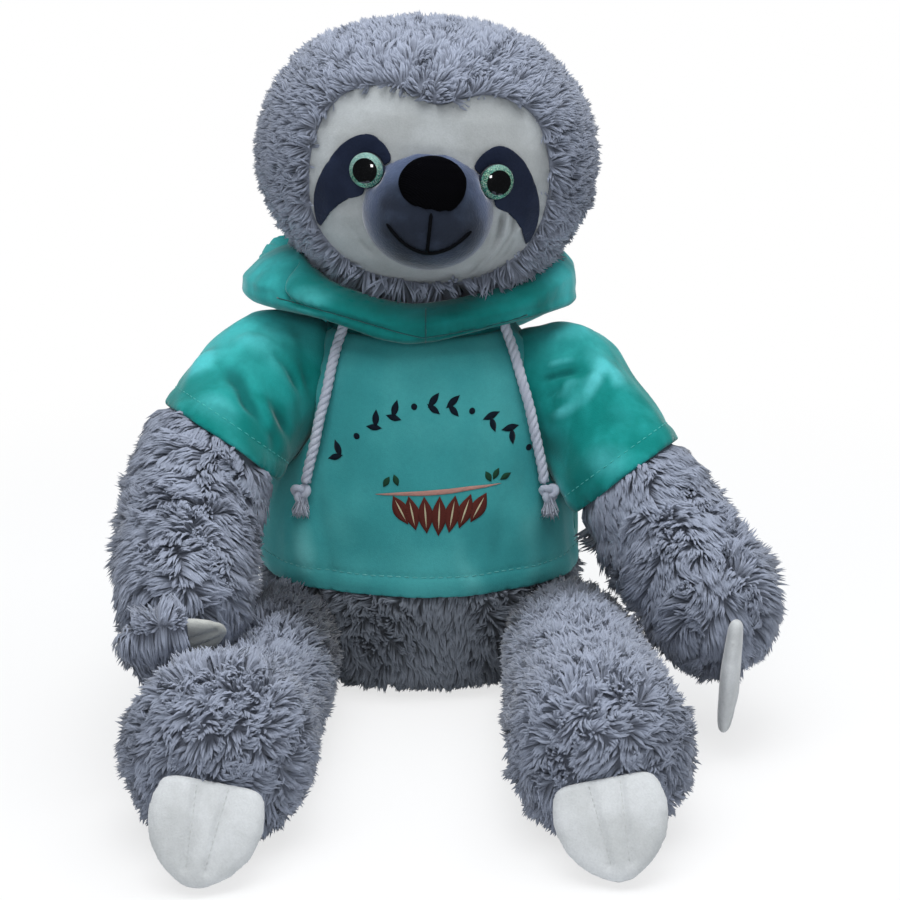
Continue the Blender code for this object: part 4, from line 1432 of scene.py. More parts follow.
@dataclass
class Face:
    """Face panel, patches, eyes, muzzle, nose and mouth."""

    frame: Frame
    mouth_thicker: float = 0.3 * MM
    eye_fuller: float = 0.3 * MM  # how much higher the dome is than its node's
    eye_sunk: float = 0.2 * MM
    eye_skirt: float = 1.2 * MM  # how deep the dome's rim goes into its patch
    nose_longer: float = 1.4  # below its middle
    nose_narrower: float = 0.24  # at its foot

    def soft(
        self, node: str, piece: str, finish: PlushFinish | NoseFinish, slot: str, edge: float, rounds: int
    ) -> Thing:
        """Dresses one soft node of the face."""
        form = dense_copy(self.frame.nodes[node], edge, rounds)
        made = new_piece(piece, mesh_from(form), finish.material())
        settle(made, "head", [node])
        return made

    def forwards(self, points: Points) -> Points:
        """Off the face, which looks forwards."""
        return each((0.0, -1.0, 0.0), points)

    def rest_on(self, piece: Thing, muzzle: Thing) -> None:
        """Moves a piece back by as much as the finished muzzle lies behind its CAD node."""
        trees = tree_of([self.frame.nodes["muzzle"]]), tree_of([muzzle])
        points = coordinates(piece.data)
        for point in points:
            start = Vector((point[0], IN_FRONT, point[2]))
            places = [tree.ray_cast(start, Vector((0, 1, 0)))[0] for tree in trees]
            if all(places):
                point[1] += places[1].y - places[0].y
        move(piece.data, points)

    def lower(self, nose: Thing, muzzle: BVHTree) -> None:
        """Draws the nose's lower edge down over the muzzle."""
        points = coordinates(nose.data)
        middle = float(points[:, 2].max() + points[:, 2].min()) / 2

        def front(x: float, z: float) -> float:
            """How far forward the muzzle lies there."""
            place = muzzle.ray_cast(Vector((x, IN_FRONT, z)), Vector((0, 1, 0)))[0]
            return place.y if place else 0.0

        centre = float(points[:, 0].max() + points[:, 0].min()) / 2
        drop = middle - float(points[:, 2].min())
        for point in points:
            if point[2] < middle:
                deep = (middle - point[2]) / drop
                height = middle + (point[2] - middle) * self.nose_longer
                x = centre + (point[0] - centre) * (1 - self.nose_narrower * deep**2)
                point[1] += front(x, height) - front(point[0], point[2])
                point[0], point[2] = x, height
        move(nose.data, points)

    def eye(self, side: Side) -> None:
        """Builds one eye: a clear dome with its glitter ring.

        Args:
            side: Which eye.
        """
        node = self.frame.nodes[f"eye_{side.value}"]
        washer = self.frame.nodes[f"eye_washer_{side.value}"]
        back = Vector(coordinates(washer.data).mean(0))
        points = coordinates(node.data)
        front = Vector(points.mean(0))
        axis = (front - back).normalized()
        heights = (points - np.array(back)) @ np.array(axis)
        far = np.linalg.norm(points - np.array(back) - heights[:, None] * np.array(axis), axis=1)
        radius = float(far.max())
        top = float(heights.max())
        rim = float(heights[far > radius * 0.97].max())
        form = bmesh.new()
        bmesh.ops.create_uvsphere(form, u_segments=64, v_segments=40, radius=1)
        geom = [*form.verts, *form.edges, *form.faces]
        bmesh.ops.bisect_plane(form, geom=geom, plane_co=(0, 0, 0), plane_no=(0, 0, -1), clear_outer=True)
        ring = form.verts.layers.float.new(EYE_RING)
        for vert in form.verts:
            vert[ring] = math.hypot(vert.co.x, vert.co.y)
        bmesh.ops.scale(form, verts=form.verts, vec=(radius, radius, top - rim + self.eye_fuller))
        skirt, _ = draw_out(form, [e for e in form.edges if e.is_boundary])
        bmesh.ops.translate(form, verts=skirt, vec=(0, 0, -self.eye_skirt))
        for vert in skirt:
            vert[ring] = 1.0
        close(form)
        bmesh.ops.recalc_face_normals(form, faces=form.faces)
        turn = axis.to_track_quat("Z", "Y").to_matrix().to_4x4()
        seat = Matrix.Translation(back + axis * (rim - self.eye_sunk)) @ turn
        bmesh.ops.transform(form, matrix=seat, verts=form.verts)
        piece = new_piece(f"{side.value}_eye_dome", mesh_from(form), EYE_PLASTIC.material())
        settle(piece, "head", [f"eye_{side.value}"])

    def build(self) -> None:
        """Builds the face."""
        form = dense_copy(self.frame.nodes["face_panel"], 2.0 * MM, 3)
        Draping(self.forwards, CHEEK_CREASES, 0.15 * MM, 20 * MM, 8).shape(form)
        panel = new_piece("cream_face", mesh_from(form), CREAM_PLUSH.material())
        settle(panel, "head", ["face_panel"])
        for side in Side:
            patch = f"eye_patch_{side.value}", f"{side.value}_eye_patch"
            self.soft(*patch, PATCH_PLUSH, "slate_plush", 2 * MM, 3)
            self.eye(side)
        muzzle = self.soft("muzzle", "plush_muzzle", MUZZLE_PLUSH, "slate_plush", 2.5 * MM, 8)
        nose = self.soft("nose", "satin_nose", BLACK_SATIN, "black_cloth", 1.5 * MM, 6)
        self.rest_on(nose, muzzle)
        self.lower(nose, tree_of([muzzle]))
        mouth = self.soft("mouth_stitching", "stitched_mouth", BLACK_THREAD, "black_cloth", 1.2 * MM, 2)
        move(mouth.data, coordinates(mouth.data) + normals_of(mouth.data) * self.mouth_thicker)
        self.rest_on(mouth, muzzle)
        plastic = WASHER_PLASTIC.material()
        for side in Side:
            self.frame.nodes[f"eye_washer_{side.value}"].data.materials[0] = plastic


@dataclass(frozen=True)
class Sleeve:
    """How one sleeve lies and folds."""

    shoulder: Vector
    end: Vector
    hem: Vector  # a point of the plane that the hem lies in
    way: Vector  # off that plane, towards the hand
    folds: tuple[Fold, ...]

    def axis(self) -> Vector:
        """The way down the sleeve."""
        return (self.end - self.shoulder).normalized()

    def past(self, points: Points) -> Points:
        """How far past the hem each point lies."""
        return (points - np.array(self.hem)) @ np.array(self.way)

    def off(self, points: Points) -> Points:
        """Straight out from the sleeve's middle."""
        away, axis = points - np.array(self.shoulder), np.array(self.axis())
        return unit(away - (away @ axis)[:, None] * axis)


SLEEVES = {
    Side.RIGHT: Sleeve(
        place_of(-79, -14, 163),
        place_of(-104.5, -68, 138),
        place_of(-103.6, -67.6, 139.3),
        Vector((-0.561, -0.264, -0.785)),
        folds(
            (-83.6, -26, 196, -60.5, -42, 177, 4, -2.8),
            (-62.9, -41, 181, -58.5, -49, 165, 3.6, -2.6),
            (-70, -35, 190, -59.7, -44, 173, 4.2, 3.6),
            (-74.6, -50, 181, -62.6, -56, 165, 3.2, -3.4),
            (-80, -49, 176, -68, -60, 160, 4.2, 2.6),
            (-98, -65, 178, -85.3, -88, 162, 3.8, -3),
            (-88.1, -84, 166, -74.2, -85, 144, 3.8, -3.2),
            (-89.7, -62, 176, -75.9, -87, 149, 4.6, 3.4),
            (-110, -50, 178, -100, -80, 158, 7, 3.4),
            (-116, -70, 170, -108.3, -45, 182, 6, 2.2),
            (-74.6, -76, 159, -67.8, -72, 146, 3.6, -3),
            (-95.8, -42, 187, -79.3, -48, 185, 8, 3.4),
        ),
    ),
    Side.LEFT: Sleeve(
        place_of(78, -12, 158),
        place_of(110, -55, 117),
        place_of(109.9, -54.9, 117.2),
        Vector((0.587, -0.261, -0.766)),
        folds(
            (66.7, -39, 173, 83, -40, 177, 4, 3),
            (65.1, -41, 167, 81.7, -44, 172, 3, -3.4),
            (66, -47, 158, 75.3, -48, 165, 2.6, -3.4),
            (71.7, -46, 162, 84.2, -47, 166, 3.4, 2.6),
            (67.5, -49, 154, 83, -53, 156, 2.8, -3.4),
            (73.6, -54, 150, 89, -54, 156, 4, 2.8),
            (89, -54, 156, 93, -46, 170, 4.2, 3.2),
            (80, -58, 144, 96, -52, 158, 3.6, -3),
            (96, -52, 158, 98, -44, 170, 3.6, -2.6),
            (84.8, -30, 182, 106, -50, 164, 8, 3.6),
            (112, -52, 152, 98, -62, 142, 3.8, -2.6),
            (116, -54, 144, 96, -66, 134, 3.8, 2.4),
            (114, -56, 138, 86, -66, 130, 4, -2.6),
            (68.1, -27, 185, 90.8, -20, 186, 8, 2.6),
        ),
    ),
}
FRONT_FOLDS = folds(
    (-58, -60, 172, -22, -80, 140, 6, 1.6),
    (-60, -60, 158, -34, -78, 130, 5, -1.4),
    (-66, -60, 122, -58, -68, 64, 7, 2),
    (-56, -66, 112, -46, -74, 64, 5, -1.4),
    (-10, -84, 176, 6, -86, 148, 4, 1),
    (0, -84, 170, 20, -85, 150, 3.6, -1),
    (60, -60, 176, 32, -80, 144, 6, 1.8),
    (62, -58, 160, 44, -76, 128, 5, -1.6),
    (66, -60, 116, 60, -68, 64, 7, 1.8),
    (52, -72, 120, 40, -78, 70, 6, -1.2),
    (-20, -85, 140, 18, -86, 124, 4, 0.8),
    (20, -85, 96, 28, -85, 62, 6, 1.3),
    (-26, -85, 94, -30, -84, 62, 6, 1.2),
)
# the line along the hood's edge crease, where a dark tube of painted shade lies
HOOD_EDGE = ((-82, 212.5), (-61, 210.5), (-45, 207.5), (-20, 201), (2, 195.5), (33, 199), (58, 205))
HOOD_FOLDS = folds(
    (-76, -40, 232, -78, -50, 219, 2.2, -4),
    (-78, -50, 219, -70, -57, 212, 2, -3.4),
    (-88, -38, 226, -87, -41, 214, 7, 2.2),
    (-70, -57, 212, -44.6, -66.8, 208, 1.6, -2.6),
    (-44.6, -66.8, 208, -19.8, -72, 201.2, 1.6, -2.6),
    (-19.8, -72, 201.2, 2, -68, 195, 1.6, -2.6),
    (7, -69, 195.5, 33, -66, 199, 1.6, -2),
    (33, -66, 199, 57.7, -48.5, 204.5, 1.8, -2),
    (78, -30, 222, 60, -50, 212, 5, 1.4),
)


@dataclass
class Garment:
    """The hooded top: panels, sleeves, hood, lining and the stitches of its hems."""

    frame: Frame
    middle: Vector = field(default_factory=lambda: place_of(0, -10, 0))
    ease: float = 3.4 * MM  # how far the sleeve hangs off the arm
    thread: float = 0.55 * MM
    stitch: float = 3.0 * MM
    stitch_step: float = 4.4 * MM

    def off_body(self, points: Points) -> Points:
        """Straight out from the body's upright middle."""
        away = points - np.array(self.middle)
        away[:, 2] = 0
        return unit(away)

    def off_hood(self, points: Points) -> Points:
        """Out and up from the inside of the neck."""
        away = points - np.array((0, -10 * MM, 185 * MM))
        away[:, 2] *= 0.5
        return unit(away)

    def body_hem(self, points: Points) -> Points:
        """The turned-up hem of the panels, drawn in at its stitches."""
        height = points[:, 2]
        drawn = -0.5 * MM * bell(height, HEM_HEIGHT + HEM_BAND, 1.3 * MM)
        swell = 0.5 * MM * bell(height, HEM_HEIGHT + HEM_BAND / 2, 4 * MM)
        angle = np.arctan2(points[:, 0], -points[:, 1])
        flutter = 1.1 * MM * np.sin(angle * 7 + 0.6) * np.exp(-(height - HEM_HEIGHT) / (22 * MM))
        side = ((-points[:, 0] - 52 * MM) / (16 * MM)).clip(0, 1)
        return drawn + swell + flutter + 4.6 * MM * side * bell(height, 86 * MM, 26 * MM)

    def hood_band(self, points: Points) -> Points:
        """Makes the hood's round edge a flat band with a lip, and draws its right end in."""
        angle = np.arctan2(points[:, 0], -points[:, 1])
        sector = ((angle + math.pi) / (2 * math.pi) * 71.99).astype(int)
        low, high = np.full(72, np.inf), np.full(72, -np.inf)
        np.minimum.at(low, sector, points[:, 2])
        np.maximum.at(high, sector, points[:, 2])
        share = (points[:, 2] - low[sector]) / (high[sector] - low[sector] + 1e-6)
        lip = 1.9 * MM * bell(share, 0.16, 0.12)
        flat = -1.5 * MM * bell(share, 0.48, 0.2)
        end = ((-points[:, 0] - 50 * MM) / (30 * MM)).clip(0, 1) * (points[:, 1] < 25 * MM)
        high = ((points[:, 2] - 217 * MM) / (17 * MM)).clip(0, 1.2)
        front = (points[:, 1] < 0) * (1 - ((np.abs(points[:, 0]) - 40 * MM) / (25 * MM)).clip(0, 1))
        upper = 7 * MM * front * ((share - 0.6) / 0.4).clip(0, 1)
        return lip + flat - upper - end * (3.5 * MM + 12 * MM * high)

    def dress(self, node: str, name: str, finish: Material, way: Draping) -> Thing:
        """Copies one garment node, drapes it and gives it its finish."""
        form = dense_copy(self.frame.nodes[node], 3.0 * MM, 4)
        way.shape(form)
        piece = new_piece(name, mesh_from(form), finish)
        settle(piece, "root", [node])
        return piece

    def stitches(
        self, name: str, points: Points, out: Points, body: str, finish: Material
    ) -> None:
        """Sews a row of stitches along a line on the cloth."""
        at, off = spaced(points, out, self.stitch_step)
        mesh = sew(at + off * 0.1 * MM, off, self.thread, self.stitch)
        settle(new_piece(name, mesh, finish), body, [])

    def lining(self, finish: Material) -> None:
        """Lines the top, so that its seams show cloth and not fur."""
        form = merged(self.frame.nodes["torso"])
        cut_off(form, Vector((0, 0, HEM_HEIGHT + 4 * MM)), Vector((0, 0, -1)))
        settle(new_piece("top_lining", mesh_from(form), finish), "root", [])

    def sleeve(self, side: Side, finish: Material, thread: Material) -> None:
        """Builds one sleeve, which hangs over the arm as far as its hem, and the hem's stitches."""
        cut = SLEEVES[side]
        node, body = f"sleeve_{side.value}", f"arm_{side.value}"
        form = merged(self.frame.nodes[body])
        form.normal_update()
        for vert in form.verts:
            vert.co += vert.normal * self.ease
        form.from_mesh(mesh_from(merged(self.frame.nodes[node])))
        cut_off(form, cut.hem, cut.way)
        solid = bmesh.new()
        solid.from_mesh(even_net(form, 2.2 * MM, 5))
        cut_off(solid, cut.hem - cut.way * 0.6 * MM, cut.way)

        def hem(points: Points) -> Points:
            """The turned-up hem, drawn in at its stitches."""
            inside = -cut.past(points)
            drawn = -0.7 * MM * bell(inside, HEM_BAND, 1.5 * MM)
            return drawn + 0.4 * MM * bell(inside, HEM_BAND / 2, 4 * MM) + 0.6 * MM

        Draping(cut.off, cut.folds, 0.7 * MM, 32 * MM, 21 + len(side.value), hem).shape(solid)
        inner = [v for v in solid.verts if (cut.hem - v.co).dot(cut.way) > 3 * MM]
        soften(solid, 2, inner)
        piece = new_piece(f"{side.value}_velour_sleeve", mesh_from(solid), finish)
        settle(piece, body, [node])
        middle = cut.hem - cut.way * HEM_BAND
        points, out = ring_round(tree_of([piece]), middle, cut.way, 70 * MM)
        self.stitches(f"{side.value}_sleeve_stitches", points, out, body, thread)

    def build(self) -> None:
        """Builds the top."""
        mint, teal = MINT_VELOUR.material(), TEAL_VELOUR.material()
        mint_thread, teal_thread = MINT_THREAD.material(), TEAL_THREAD.material()
        self.lining(teal)
        draped = Draping(self.off_body, FRONT_FOLDS, 0.35 * MM, 36 * MM, 12, self.body_hem)
        front = self.dress("hoodie_front_panel", "velour_front", mint, draped)
        draped = Draping(self.off_body, (), 0.9 * MM, 34 * MM, 13, self.body_hem)
        back = self.dress("hoodie_back_panel", "velour_back", teal, draped)
        self.hem(front, "front_hem_stitches", mint_thread, "mint_velour")
        self.hem(back, "back_hem_stitches", teal_thread, "teal_velour")
        for side in Side:
            self.sleeve(side, teal, teal_thread)
        draped = Draping(self.off_hood, HOOD_FOLDS, 0.8 * MM, 36 * MM, 31, self.hood_band)
        hood = self.dress("hood", "velour_hood", SHADED_HOOD_VELOUR.material(), draped)
        collar, dark = tree_of([hood]), DARK_SEAM_AND_CREASE_SHADE.material()
        line, out = seen_on(collar, np.full(90, 3.5 * MM), np.linspace(155 * MM, 245 * MM, 90))
        near = line[:, 1] < -60 * MM
        self.seam("hood_seam", *spaced(line[near], out[near], 1.2 * MM), 0.42 * MM, dark)
        # painted shade: a dark line along the crease above the hood's lower edge
        across, marks = np.linspace(-74 * MM, 56 * MM, 110), np.array(HOOD_EDGE) * MM
        line, out = seen_on(collar, across, np.interp(across, marks[:, 0], marks[:, 1]))
        self.seam("hood_edge_crease_shade", line, out, 0.4 * MM, dark)
        ChestPrint(tree_of([front])).build()

    def hem(self, panel: Thing, name: str, thread: Material, slot: str) -> None:
        """Sews a panel's hem, from one of its ends to the other."""
        middle = self.middle + Vector((0, 0, HEM_HEIGHT + HEM_BAND))
        points, out = ring_round(tree_of([panel]), middle, Vector((0, 0, 1)), 0.2)
        gaps = np.linalg.norm(np.diff(points, axis=0, append=points[:1]), axis=1)
        first = (int(gaps.argmax()) + 1) % len(points)
        points, out = np.roll(points, -first, axis=0), np.roll(out, -first, axis=0)
        self.stitches(name, points, out, "root", thread)

    def seam(self, name: str, line: Points, out: Points, radius: float, dark: Material) -> None:
        """Lays a dark tube along a line on the cloth, for a seam and for painted shade along the hood's
        edge crease.
        """
        form = tube_along(line - out * 0.1 * MM, np.full(len(line), radius), 6)
        settle(new_piece(name, mesh_from(form), dark), "root", [])


@dataclass
class ChestPrint:
    """A generic print of leaves and dots on the front panel."""

    cloth: BVHTree
    proud: float = 0.22 * MM
    film: float = 0.12 * MM
    start: float = -0.2  # from here the shapes are laid back on the cloth
    arc_side: int = 5  # how many leaf pairs and dots the arc has on each side of its middle
    arc_middle: float = 7.5 * MM
    arc_reach: float = 50 * MM
    arc_top: float = 160 * MM
    arc_drop: float = 27 * MM
    arc_spread: float = 58  # in degrees
    branch_middle: float = 10 * MM
    branch_height: float = 115.5 * MM
    fan_middle: float = 8 * MM
    fan_height: float = 113.5 * MM

    def motif(
        self,
        form: Form,
        x: float,
        z: float,
        long: float,
        wide: float,
        turn: float = 0,
        pinch: float = 0,
    ) -> None:
        """Adds one flat shape, seen from the front.

        Args:
            form: The shapes so far.
            x: Its middle across.
            z: Its middle up.
            long: Its length.
            wide: Its width.
            turn: How far it is turned, in degrees.
            pinch: 0 for a round end, 1 for a pointed one.
        """
        made = bmesh.ops.create_circle(form, cap_ends=True, segments=24, radius=0.5)["verts"]
        for vert in made:
            narrow = 1 - pinch * abs(vert.co.x * 2) ** 2
            vert.co = (vert.co.x * long, 0, vert.co.y * wide * narrow)
        turned = Matrix.Rotation(math.radians(-turn), 3, "Y")
        bmesh.ops.rotate(form, verts=made, cent=(0, 0, 0), matrix=turned)
        bmesh.ops.translate(form, verts=made, vec=(x, self.start, z))

    def lay(self, name: str, form: Form, ink: PlushFinish, off: float) -> None:
        """Lays the shapes on the cloth as a thin film of ink."""
        bmesh.ops.triangulate(form, faces=form.faces)
        halve(form, 2.2 * MM, 2)
        for vert in form.verts:
            place = self.cloth.ray_cast(vert.co, Vector((0, 1, 0)))[0]
            if place is not None:
                vert.co.y = place.y - off
        missed = [v for v in form.verts if v.co.y < self.start + 10 * MM]
        bmesh.ops.delete(form, geom=missed, context="VERTS")
        bmesh.ops.recalc_face_normals(form, faces=form.faces)
        bmesh.ops.solidify(form, geom=form.faces, thickness=-self.film)
        settle(new_piece(name, mesh_from(form), ink.material()), "root", [])

    def build(self) -> None:
        """Prints an arc of leaves and dots, and under it a branch with a fan of leaves."""
        arc, branch, leaves, ribs, greens = (bmesh.new() for _ in range(5))
        for index in range(2 * self.arc_side + 1):
            share = (index - self.arc_side) / self.arc_side
            x = self.arc_middle + self.arc_reach * share
            z = self.arc_top - self.arc_drop * share**2
            turn = -self.arc_spread * share
            if index % 3 == 1:
                self.motif(arc, x, z, 3.2 * MM, 3.2 * MM)
            else:
                beside = x - 1.5 * MM * math.sin(math.radians(turn))
                self.motif(arc, x, z + 2 * MM, 9.5 * MM, 3.6 * MM, turn + 52, 0.9)
                self.motif(arc, beside, z - 2.4 * MM, 8.5 * MM, 3.2 * MM, turn - 38, 0.9)
        self.motif(branch, self.branch_middle, self.branch_height, 66 * MM, 2.6 * MM, 3, 0.5)
        fan = ((-24, 118), (-15, 102), (-6, 94), (3, 88), (12, 80), (21, 70), (30, 60))
        for across, turn in fan:
            heading = math.radians(turn)
            length = (21 - abs(across - 3) * 0.16) * MM
            x = self.fan_middle + across * 0.9 * MM - math.cos(heading) * length * 0.5
            z = self.fan_height - math.sin(heading) * length * 0.5
            self.motif(leaves, x, z, length, 8 * MM, turn, 0.85)
            self.motif(ribs, x, z, length * 0.7, 0.9 * MM, turn, 0.9)
        sprigs = ((-27, 5, 60), (-22, 6, 110), (30, 7, 62), (35, 5, 25), (26, 6, 118))
        for across, up, turn in sprigs:
            x, z = self.branch_middle + across * MM, self.branch_height + up * MM
            self.motif(greens, x, z, 6.5 * MM, 3.2 * MM, turn, 0.85)
        inks = (
            ("printed_arc", arc, (16, 28, 40), 1.0),
            ("printed_branch", branch, (176, 132, 122), 1.0),
            ("printed_leaves", leaves, (88, 40, 34), 1.5),
            ("printed_ribs", ribs, (190, 182, 150), 2.4),
            ("printed_buds", greens, (30, 66, 48), 1.0),
        )
        for name, form, colour, off in inks:
            ink = PlushFinish(name=name, colour=colour, brushed=colour, grain_height=0.1 * MM, sheen=0.15)
            self.lay(name, form, ink, self.proud * off)


@dataclass
class Drawstrings:
    """Twisted cotton cords with their knots and frayed ends."""

    frame: Frame
    diameter: float = 5.6 * MM
    pitch: float = 13 * MM
    strands: int = 3
    strand_off: float = 1.25 * MM  # how far a strand's middle lies off the cord's
    strand_radius: float = 1.62 * MM
    knot_loop: float = 1.35 * MM
    knot_radius: float = 1.9 * MM
    knot_drop: float = 5.6 * MM  # how far the knot's middle lies under its top
    yarns: int = 90  # in the tuft under each knot

    def line(self, node: str) -> Points:
        """Finds the middle of a cord's CAD solid, from its top to its foot."""
        points = coordinates(self.frame.nodes[node].data)
        top, foot = points[:, 2].max(), points[:, 2].min()
        stations = np.linspace(top, foot, 26)
        half = (top - foot) / 25 * 0.8
        found = [points[np.abs(points[:, 2] - z) < half].mean(0) for z in stations]
        line = np.array(found)
        line[0, 2], line[-1, 2] = top - 1 * MM, foot + 0.5 * MM
        for _ in range(3):
            line[1:-1] = (line[:-2] + 2 * line[1:-1] + line[2:]) / 4
        return line

    def cord(self, side: Side, cotton: Material) -> None:
        """Builds one cord, with its knot and its frayed end."""
        sparse = self.line(f"drawstring_{side.value}")
        line, _ = spaced(sparse, each((0.0, -1.0, 0.0), sparse), 0.8 * MM)
        run = run_along(line)
        along = unit(np.gradient(line, axis=0))
        beside = unit(np.cross(along, (0, 1, 0)))
        other = np.cross(along, beside)
        whole = bmesh.new()
        for strand in range(self.strands):
            angle = run / self.pitch * 2 * math.pi + strand * 2 * math.pi / self.strands
            offset = beside * np.cos(angle)[:, None] + other * np.sin(angle)[:, None]
            radius = np.full(len(line), self.strand_radius)
            form = tube_along(line + offset * self.strand_off, radius, 8)
            whole.from_mesh(mesh_from(form))
        name = f"{side.value}_drawstring"
        cord = new_piece(name, mesh_from(whole), cotton)
        settle(cord, "root", [f"drawstring_{side.value}"])
        end = self.knot(side, cotton)

    def knot(self, side: Side, cotton: Material) -> Thing:
        """Ties the knot, with a tuft of loose yarn under it."""
        node = f"drawstring_knot_{side.value}"
        points = coordinates(self.frame.nodes[node].data)
        low, high = points.min(0), points.max(0)
        middle = (low + high) / 2
        middle[2] = high[2] - self.knot_drop
        turn = np.linspace(0, 2 * math.pi, 72, endpoint=False)
        across, up = np.sin(turn) + 2 * np.sin(2 * turn), np.cos(turn) - 2 * np.cos(2 * turn)
        trefoil = np.stack((across, -np.sin(3 * turn) * 0.9, up), 1)
        loop = middle + np.vstack((trefoil, trefoil[:1])) * self.knot_loop
        whole = tube_along(loop, np.full(len(loop), self.knot_radius), 8)
        chance = np.random.default_rng(71 + len(side.value))
        template = strand_template()
        count = self.yarns
        foot = np.array((middle[0], middle[1], low[2]))
        spread = chance.normal(size=(count, 3)) * np.array((1.3, 1.3, 0.6)) * MM
        roots = middle + np.array((0, 0, -2.0 * MM)) + spread
        tips = foot + chance.normal(size=(count, 3)) * (2.5 * MM, 2.0 * MM, 1.2 * MM) + (0, 0, 1.5 * MM)
        share = template.points[:, 2][None, :, None]
        bulge = chance.normal(size=(count, 1, 3)) * (1.2 * MM, 1.2 * MM, 0)
        yarn = roots[:, None] * (1 - share) + tips[:, None] * share + bulge * (share * (1 - share) * 4)
        wide = np.interp(template.points[:, 2], (0, 0.5, 1), (1, 1, 0.5))[None, :, None] * 0.5 * MM
        yarn = yarn + np.pad(template.points[:, :2], ((0, 0), (0, 1)))[None] * wide
        whole.from_mesh(lay_down(template, yarn))
        piece = new_piece(f"{side.value}_knot", mesh_from(whole), cotton)
        settle(piece, "root", [node])
        return piece

    def build(self) -> None:
        """Builds both cords."""
        cotton = WHITE_COTTON.material()
        for side in Side:
            self.cord(side, cotton)


@dataclass(frozen=True)
class PadLay:
    """Where a toe pad is sewn on, which way its toes point and which way they lie side by side."""

    root: Vector
    along: Vector
    across: Vector
    half_width: float
    length: float
    slant: float = 0

    def axes(self) -> tuple[Vector, Vector, Vector]:
        """Across, down and off the front of the pad."""
        down = self.along.normalized()
        across = (self.across - down * self.across.dot(down)).normalized()
        return across, down, across.cross(down)


PADS = {
    "hand_claws_right": PadLay(
        place_of(-129.5, -195.6, 70.8),
        Vector((0.93, -0.10, 0.30)),
        Vector((-0.24, -0.60, 0.76)),
        9 * MM,
        44 * MM,
    ),
    "hand_claws_left": PadLay(
        place_of(156.7, -149.7, 53.3),
        Vector((-0.12, -0.15, -0.98)),
        Vector((-0.18, -0.94, 0.28)),
        9.6 * MM,
        43 * MM,
        1.4,
    ),
    "foot_claws_right": PadLay(
        place_of(-89, -288.6, 38),
        Vector((-0.17, -0.58, -0.80)),
        Vector((0.98, 0, -0.18)),
        12.7 * MM,
        43.5 * MM,
    ),
    "foot_claws_left": PadLay(
        place_of(85, -282.3, 37),
        Vector((0.17, -0.58, -0.80)),
        Vector((0.98, 0, 0.18)),
        12.7 * MM,
        42.5 * MM,
    ),
}


@dataclass
class ToePads:
    """The cream pads of hands and feet, with the seams between their toes."""

    frame: Frame
    spacing: float = 0.55  # from toe to toe, against a toe's width
    groove: float = 1.7 * MM
    tip_wider: float = 0.2
    tip_longer: float = 2.2 * MM

    def seams(self, lay: PadLay) -> list[Points]:
        """The lines of the two seams, in the middle of the pad's thickness."""
        across, down, _ = (np.array(v) for v in lay.axes())
        lines = []
        for sign in (-1, 1):
            aside = sign * lay.half_width * self.spacing
            start = -aside * lay.slant
            runs = np.linspace(start - 0.1 * lay.half_width, lay.length - 0.75 * lay.half_width, 40)
            narrow = np.linspace(1, 0.6, len(runs))
            lines.append(np.array(lay.root) + across * (aside * narrow)[:, None] + down * runs[:, None])
        return lines

    def pad(self, node: str, name: str, plush: Material, thread: Material) -> None:
        """Builds one pad.

        Args:
            node: Its CAD node, which is its body too.
            name: The piece's name.
            plush: Its finish.
            thread: The stitches' finish.
        """
        lay = PADS[node]
        across, down, off = (np.array(v) for v in lay.axes())
        form = merged(self.frame.nodes[node])
        hull = bmesh.ops.convex_hull(form, input=form.verts)
        inner = [g for g in hull["geom_interior"] if isinstance(g, Vert)]
        bmesh.ops.delete(form, geom=inner, context="VERTS")
        mesh = even_net(form, 1.4 * MM, 5)
        points = coordinates(mesh)
        normals = normals_of(mesh).astype(float)
        sunk = np.zeros(len(points))
        for line in self.seams(lay):
            flat = points[:, None] - line[None]
            flat = flat - (flat @ off)[..., None] * off
            far = np.linalg.norm(flat, axis=2).min(1)
            sunk = np.maximum(sunk, self.groove * bell(far, 0, 1.7 * MM))
        facing = np.abs(normals @ off).clip(0, 1)
        moved = points - normals * (sunk * facing)[:, None]
        if node.startswith("foot"):
            from_root = moved - np.array(lay.root)
            past = ((from_root @ down) / lay.length - 0.4).clip(0, 0.6) / 0.6
            wider = (from_root @ across) * self.tip_wider * np.sin(past * math.pi / 2)
            moved += across * wider[:, None] + down * (past * self.tip_longer)[:, None]
        move(mesh, moved)
        piece = new_piece(name, mesh, plush)
        settle(piece, node, [node])
        tree = tree_of([piece])
        rows = []
        for line in self.seams(lay):
            for face in (1, -1):
                starts = line + off * face * 40 * MM
                found, out = found_from(tree, starts, each(-off * face, line))
                if len(found) > 4:
                    at, away = spaced(found, out, 2.6 * MM)
                    rows.append(sew(at, away, 0.45 * MM, 2.1 * MM))
        whole = bmesh.new()
        for row in rows:
            whole.from_mesh(row)
        settle(new_piece(f"{name}_stitches", mesh_from(whole), thread), node, [])

    def build(self) -> None:
        """Builds the four pads."""
        plush, thread = PAD_PLUSH.material(), CREAM_THREAD.material()
        # painted shade: a darker copy of the pad plush for the right hand
        hand = SHADED_HAND_PAD_PLUSH.material()
        for node in PADS:
            limb, _, side = node.split("_")
            self.pad(node, f"{side}_{limb}_pad", hand if node == "hand_claws_right" else plush, thread)


# Studio


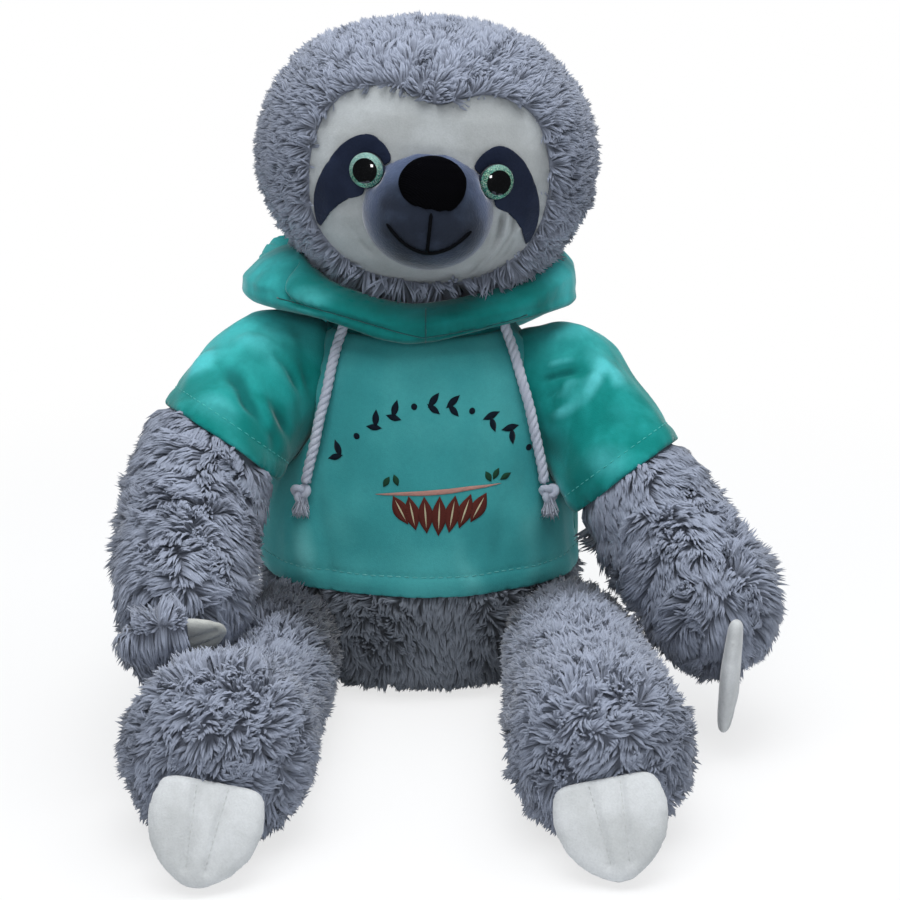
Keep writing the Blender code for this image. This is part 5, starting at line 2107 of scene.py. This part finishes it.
@dataclass
class Studio:
    """Camera, lamps and floor."""

    target: Vector = field(default_factory=lambda: place_of(16, 0, 117))
    distance: float = 1.3
    elevation: float = math.radians(15)
    lens: float = 94.56
    fill: float = 0.33  # the strength of the light all round
    mirrored_less: float = 0.3  # how much less of it glossy surfaces show

    def camera(self) -> None:
        """Sets the camera at the photograph's angle."""
        data = bpy.data.cameras.new("camera")
        data.lens = self.lens
        data.sensor_width = 36
        made = bpy.data.objects.new("camera", data)
        back = Vector((0, -math.cos(self.elevation), math.sin(self.elevation)))
        made.location = self.target + back * self.distance
        made.rotation_euler = (math.pi / 2 - self.elevation, 0, 0)
        bpy.context.scene.collection.objects.link(made)
        bpy.context.scene.camera = made

    def lamp(self, name: str, place: Vector, size: float, power: float, mirrored: bool = False) -> None:
        """Adds one soft lamp that looks at the toy.

        Args:
            name: The lamp.
            place: Where it is.
            size: Its side.
            power: Its power in watts.
            mirrored: Whether glossy surfaces show it.
        """
        data = bpy.data.lights.new(name, "AREA")
        data.size = size
        data.energy = power
        made = bpy.data.objects.new(name, data)
        made.visible_glossy = mirrored
        made.location = place
        made.rotation_euler = (place - self.target).to_track_quat("Z", "Y").to_euler()
        bpy.context.scene.collection.objects.link(made)

    def world(self) -> None:
        """Lights all round softly, and shows white to the camera."""
        paint = Paint("studio", "World")
        glossy = paint.node("ShaderNodeLightPath", output="Is Glossy Ray")
        seen = paint.node("ShaderNodeLightPath", output="Is Camera Ray")
        cool = {"Color": (0.9, 0.95, 1.0, 1), "Strength": self.fill - self.mirrored_less * glossy}
        fill = paint.node("ShaderNodeBackground", None, cool)
        white = paint.node("ShaderNodeBackground", None, {"Color": (255, 255, 255)})
        shown = paint.node("ShaderNodeMixShader", None, {0: seen, 1: fill, 2: white})
        bpy.context.scene.world = paint.end(shown)

    def floor(self) -> None:
        """Lays a pale floor that keeps the toy's shadow."""
        form = bmesh.new()
        bmesh.ops.create_grid(form, x_segments=1, y_segments=1, size=6)
        paint = Paint("pale_floor")
        own = paint.node("ShaderNodeTexCoord", output="Object")
        far = paint.node("ShaderNodeVectorMath", {"operation": "LENGTH"}, {0: own}, output=1)
        matt = paint.node("ShaderNodeBsdfDiffuse", None, {"Color": (235, 236, 238)})
        glow = paint.node("ShaderNodeEmission", None, {"Color": (255, 255, 255), "Strength": 1.0})
        seen = paint.node("ShaderNodeLightPath", output="Is Camera Ray")
        share = seen * (0.72 + 0.28 * far.between(0.25, 0.7))
        pale = paint.end(paint.node("ShaderNodeMixShader", None, {0: share, 1: matt, 2: glow}))
        floor = new_piece("floor", mesh_from(form), pale)
        floor.location.z = -0.4 * MM
        floor.visible_glossy = False

    def build(self) -> None:
        """Sets up the studio."""
        bpy.context.scene.view_settings.view_transform = "Standard"
        self.camera()
        self.world()
        self.lamp("window", Vector((-0.2, -0.65, 1.7)), 1.3, 18)
        self.lamp("sky", Vector((0.35, 0.15, 1.65)), 1.3, 16)
        self.lamp("glint", Vector((0.02, -1.5, 0.72)), 0.28, 2.4, mirrored=True)
        self.floor()


def main() -> None:
    """Builds the toy in order, logging each piece's faces."""
    logging.basicConfig(level=logging.INFO, format="%(name)s %(message)s")
    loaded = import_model()
    frame = Frame(loaded["nodes"])
    Studio().build()
    Drawstrings(frame).build()
    FurryForms(frame).build()
    Garment(frame).build()
    ToePads(frame).build()
    Face(frame).build()


if __name__ == "__main__":
    main()
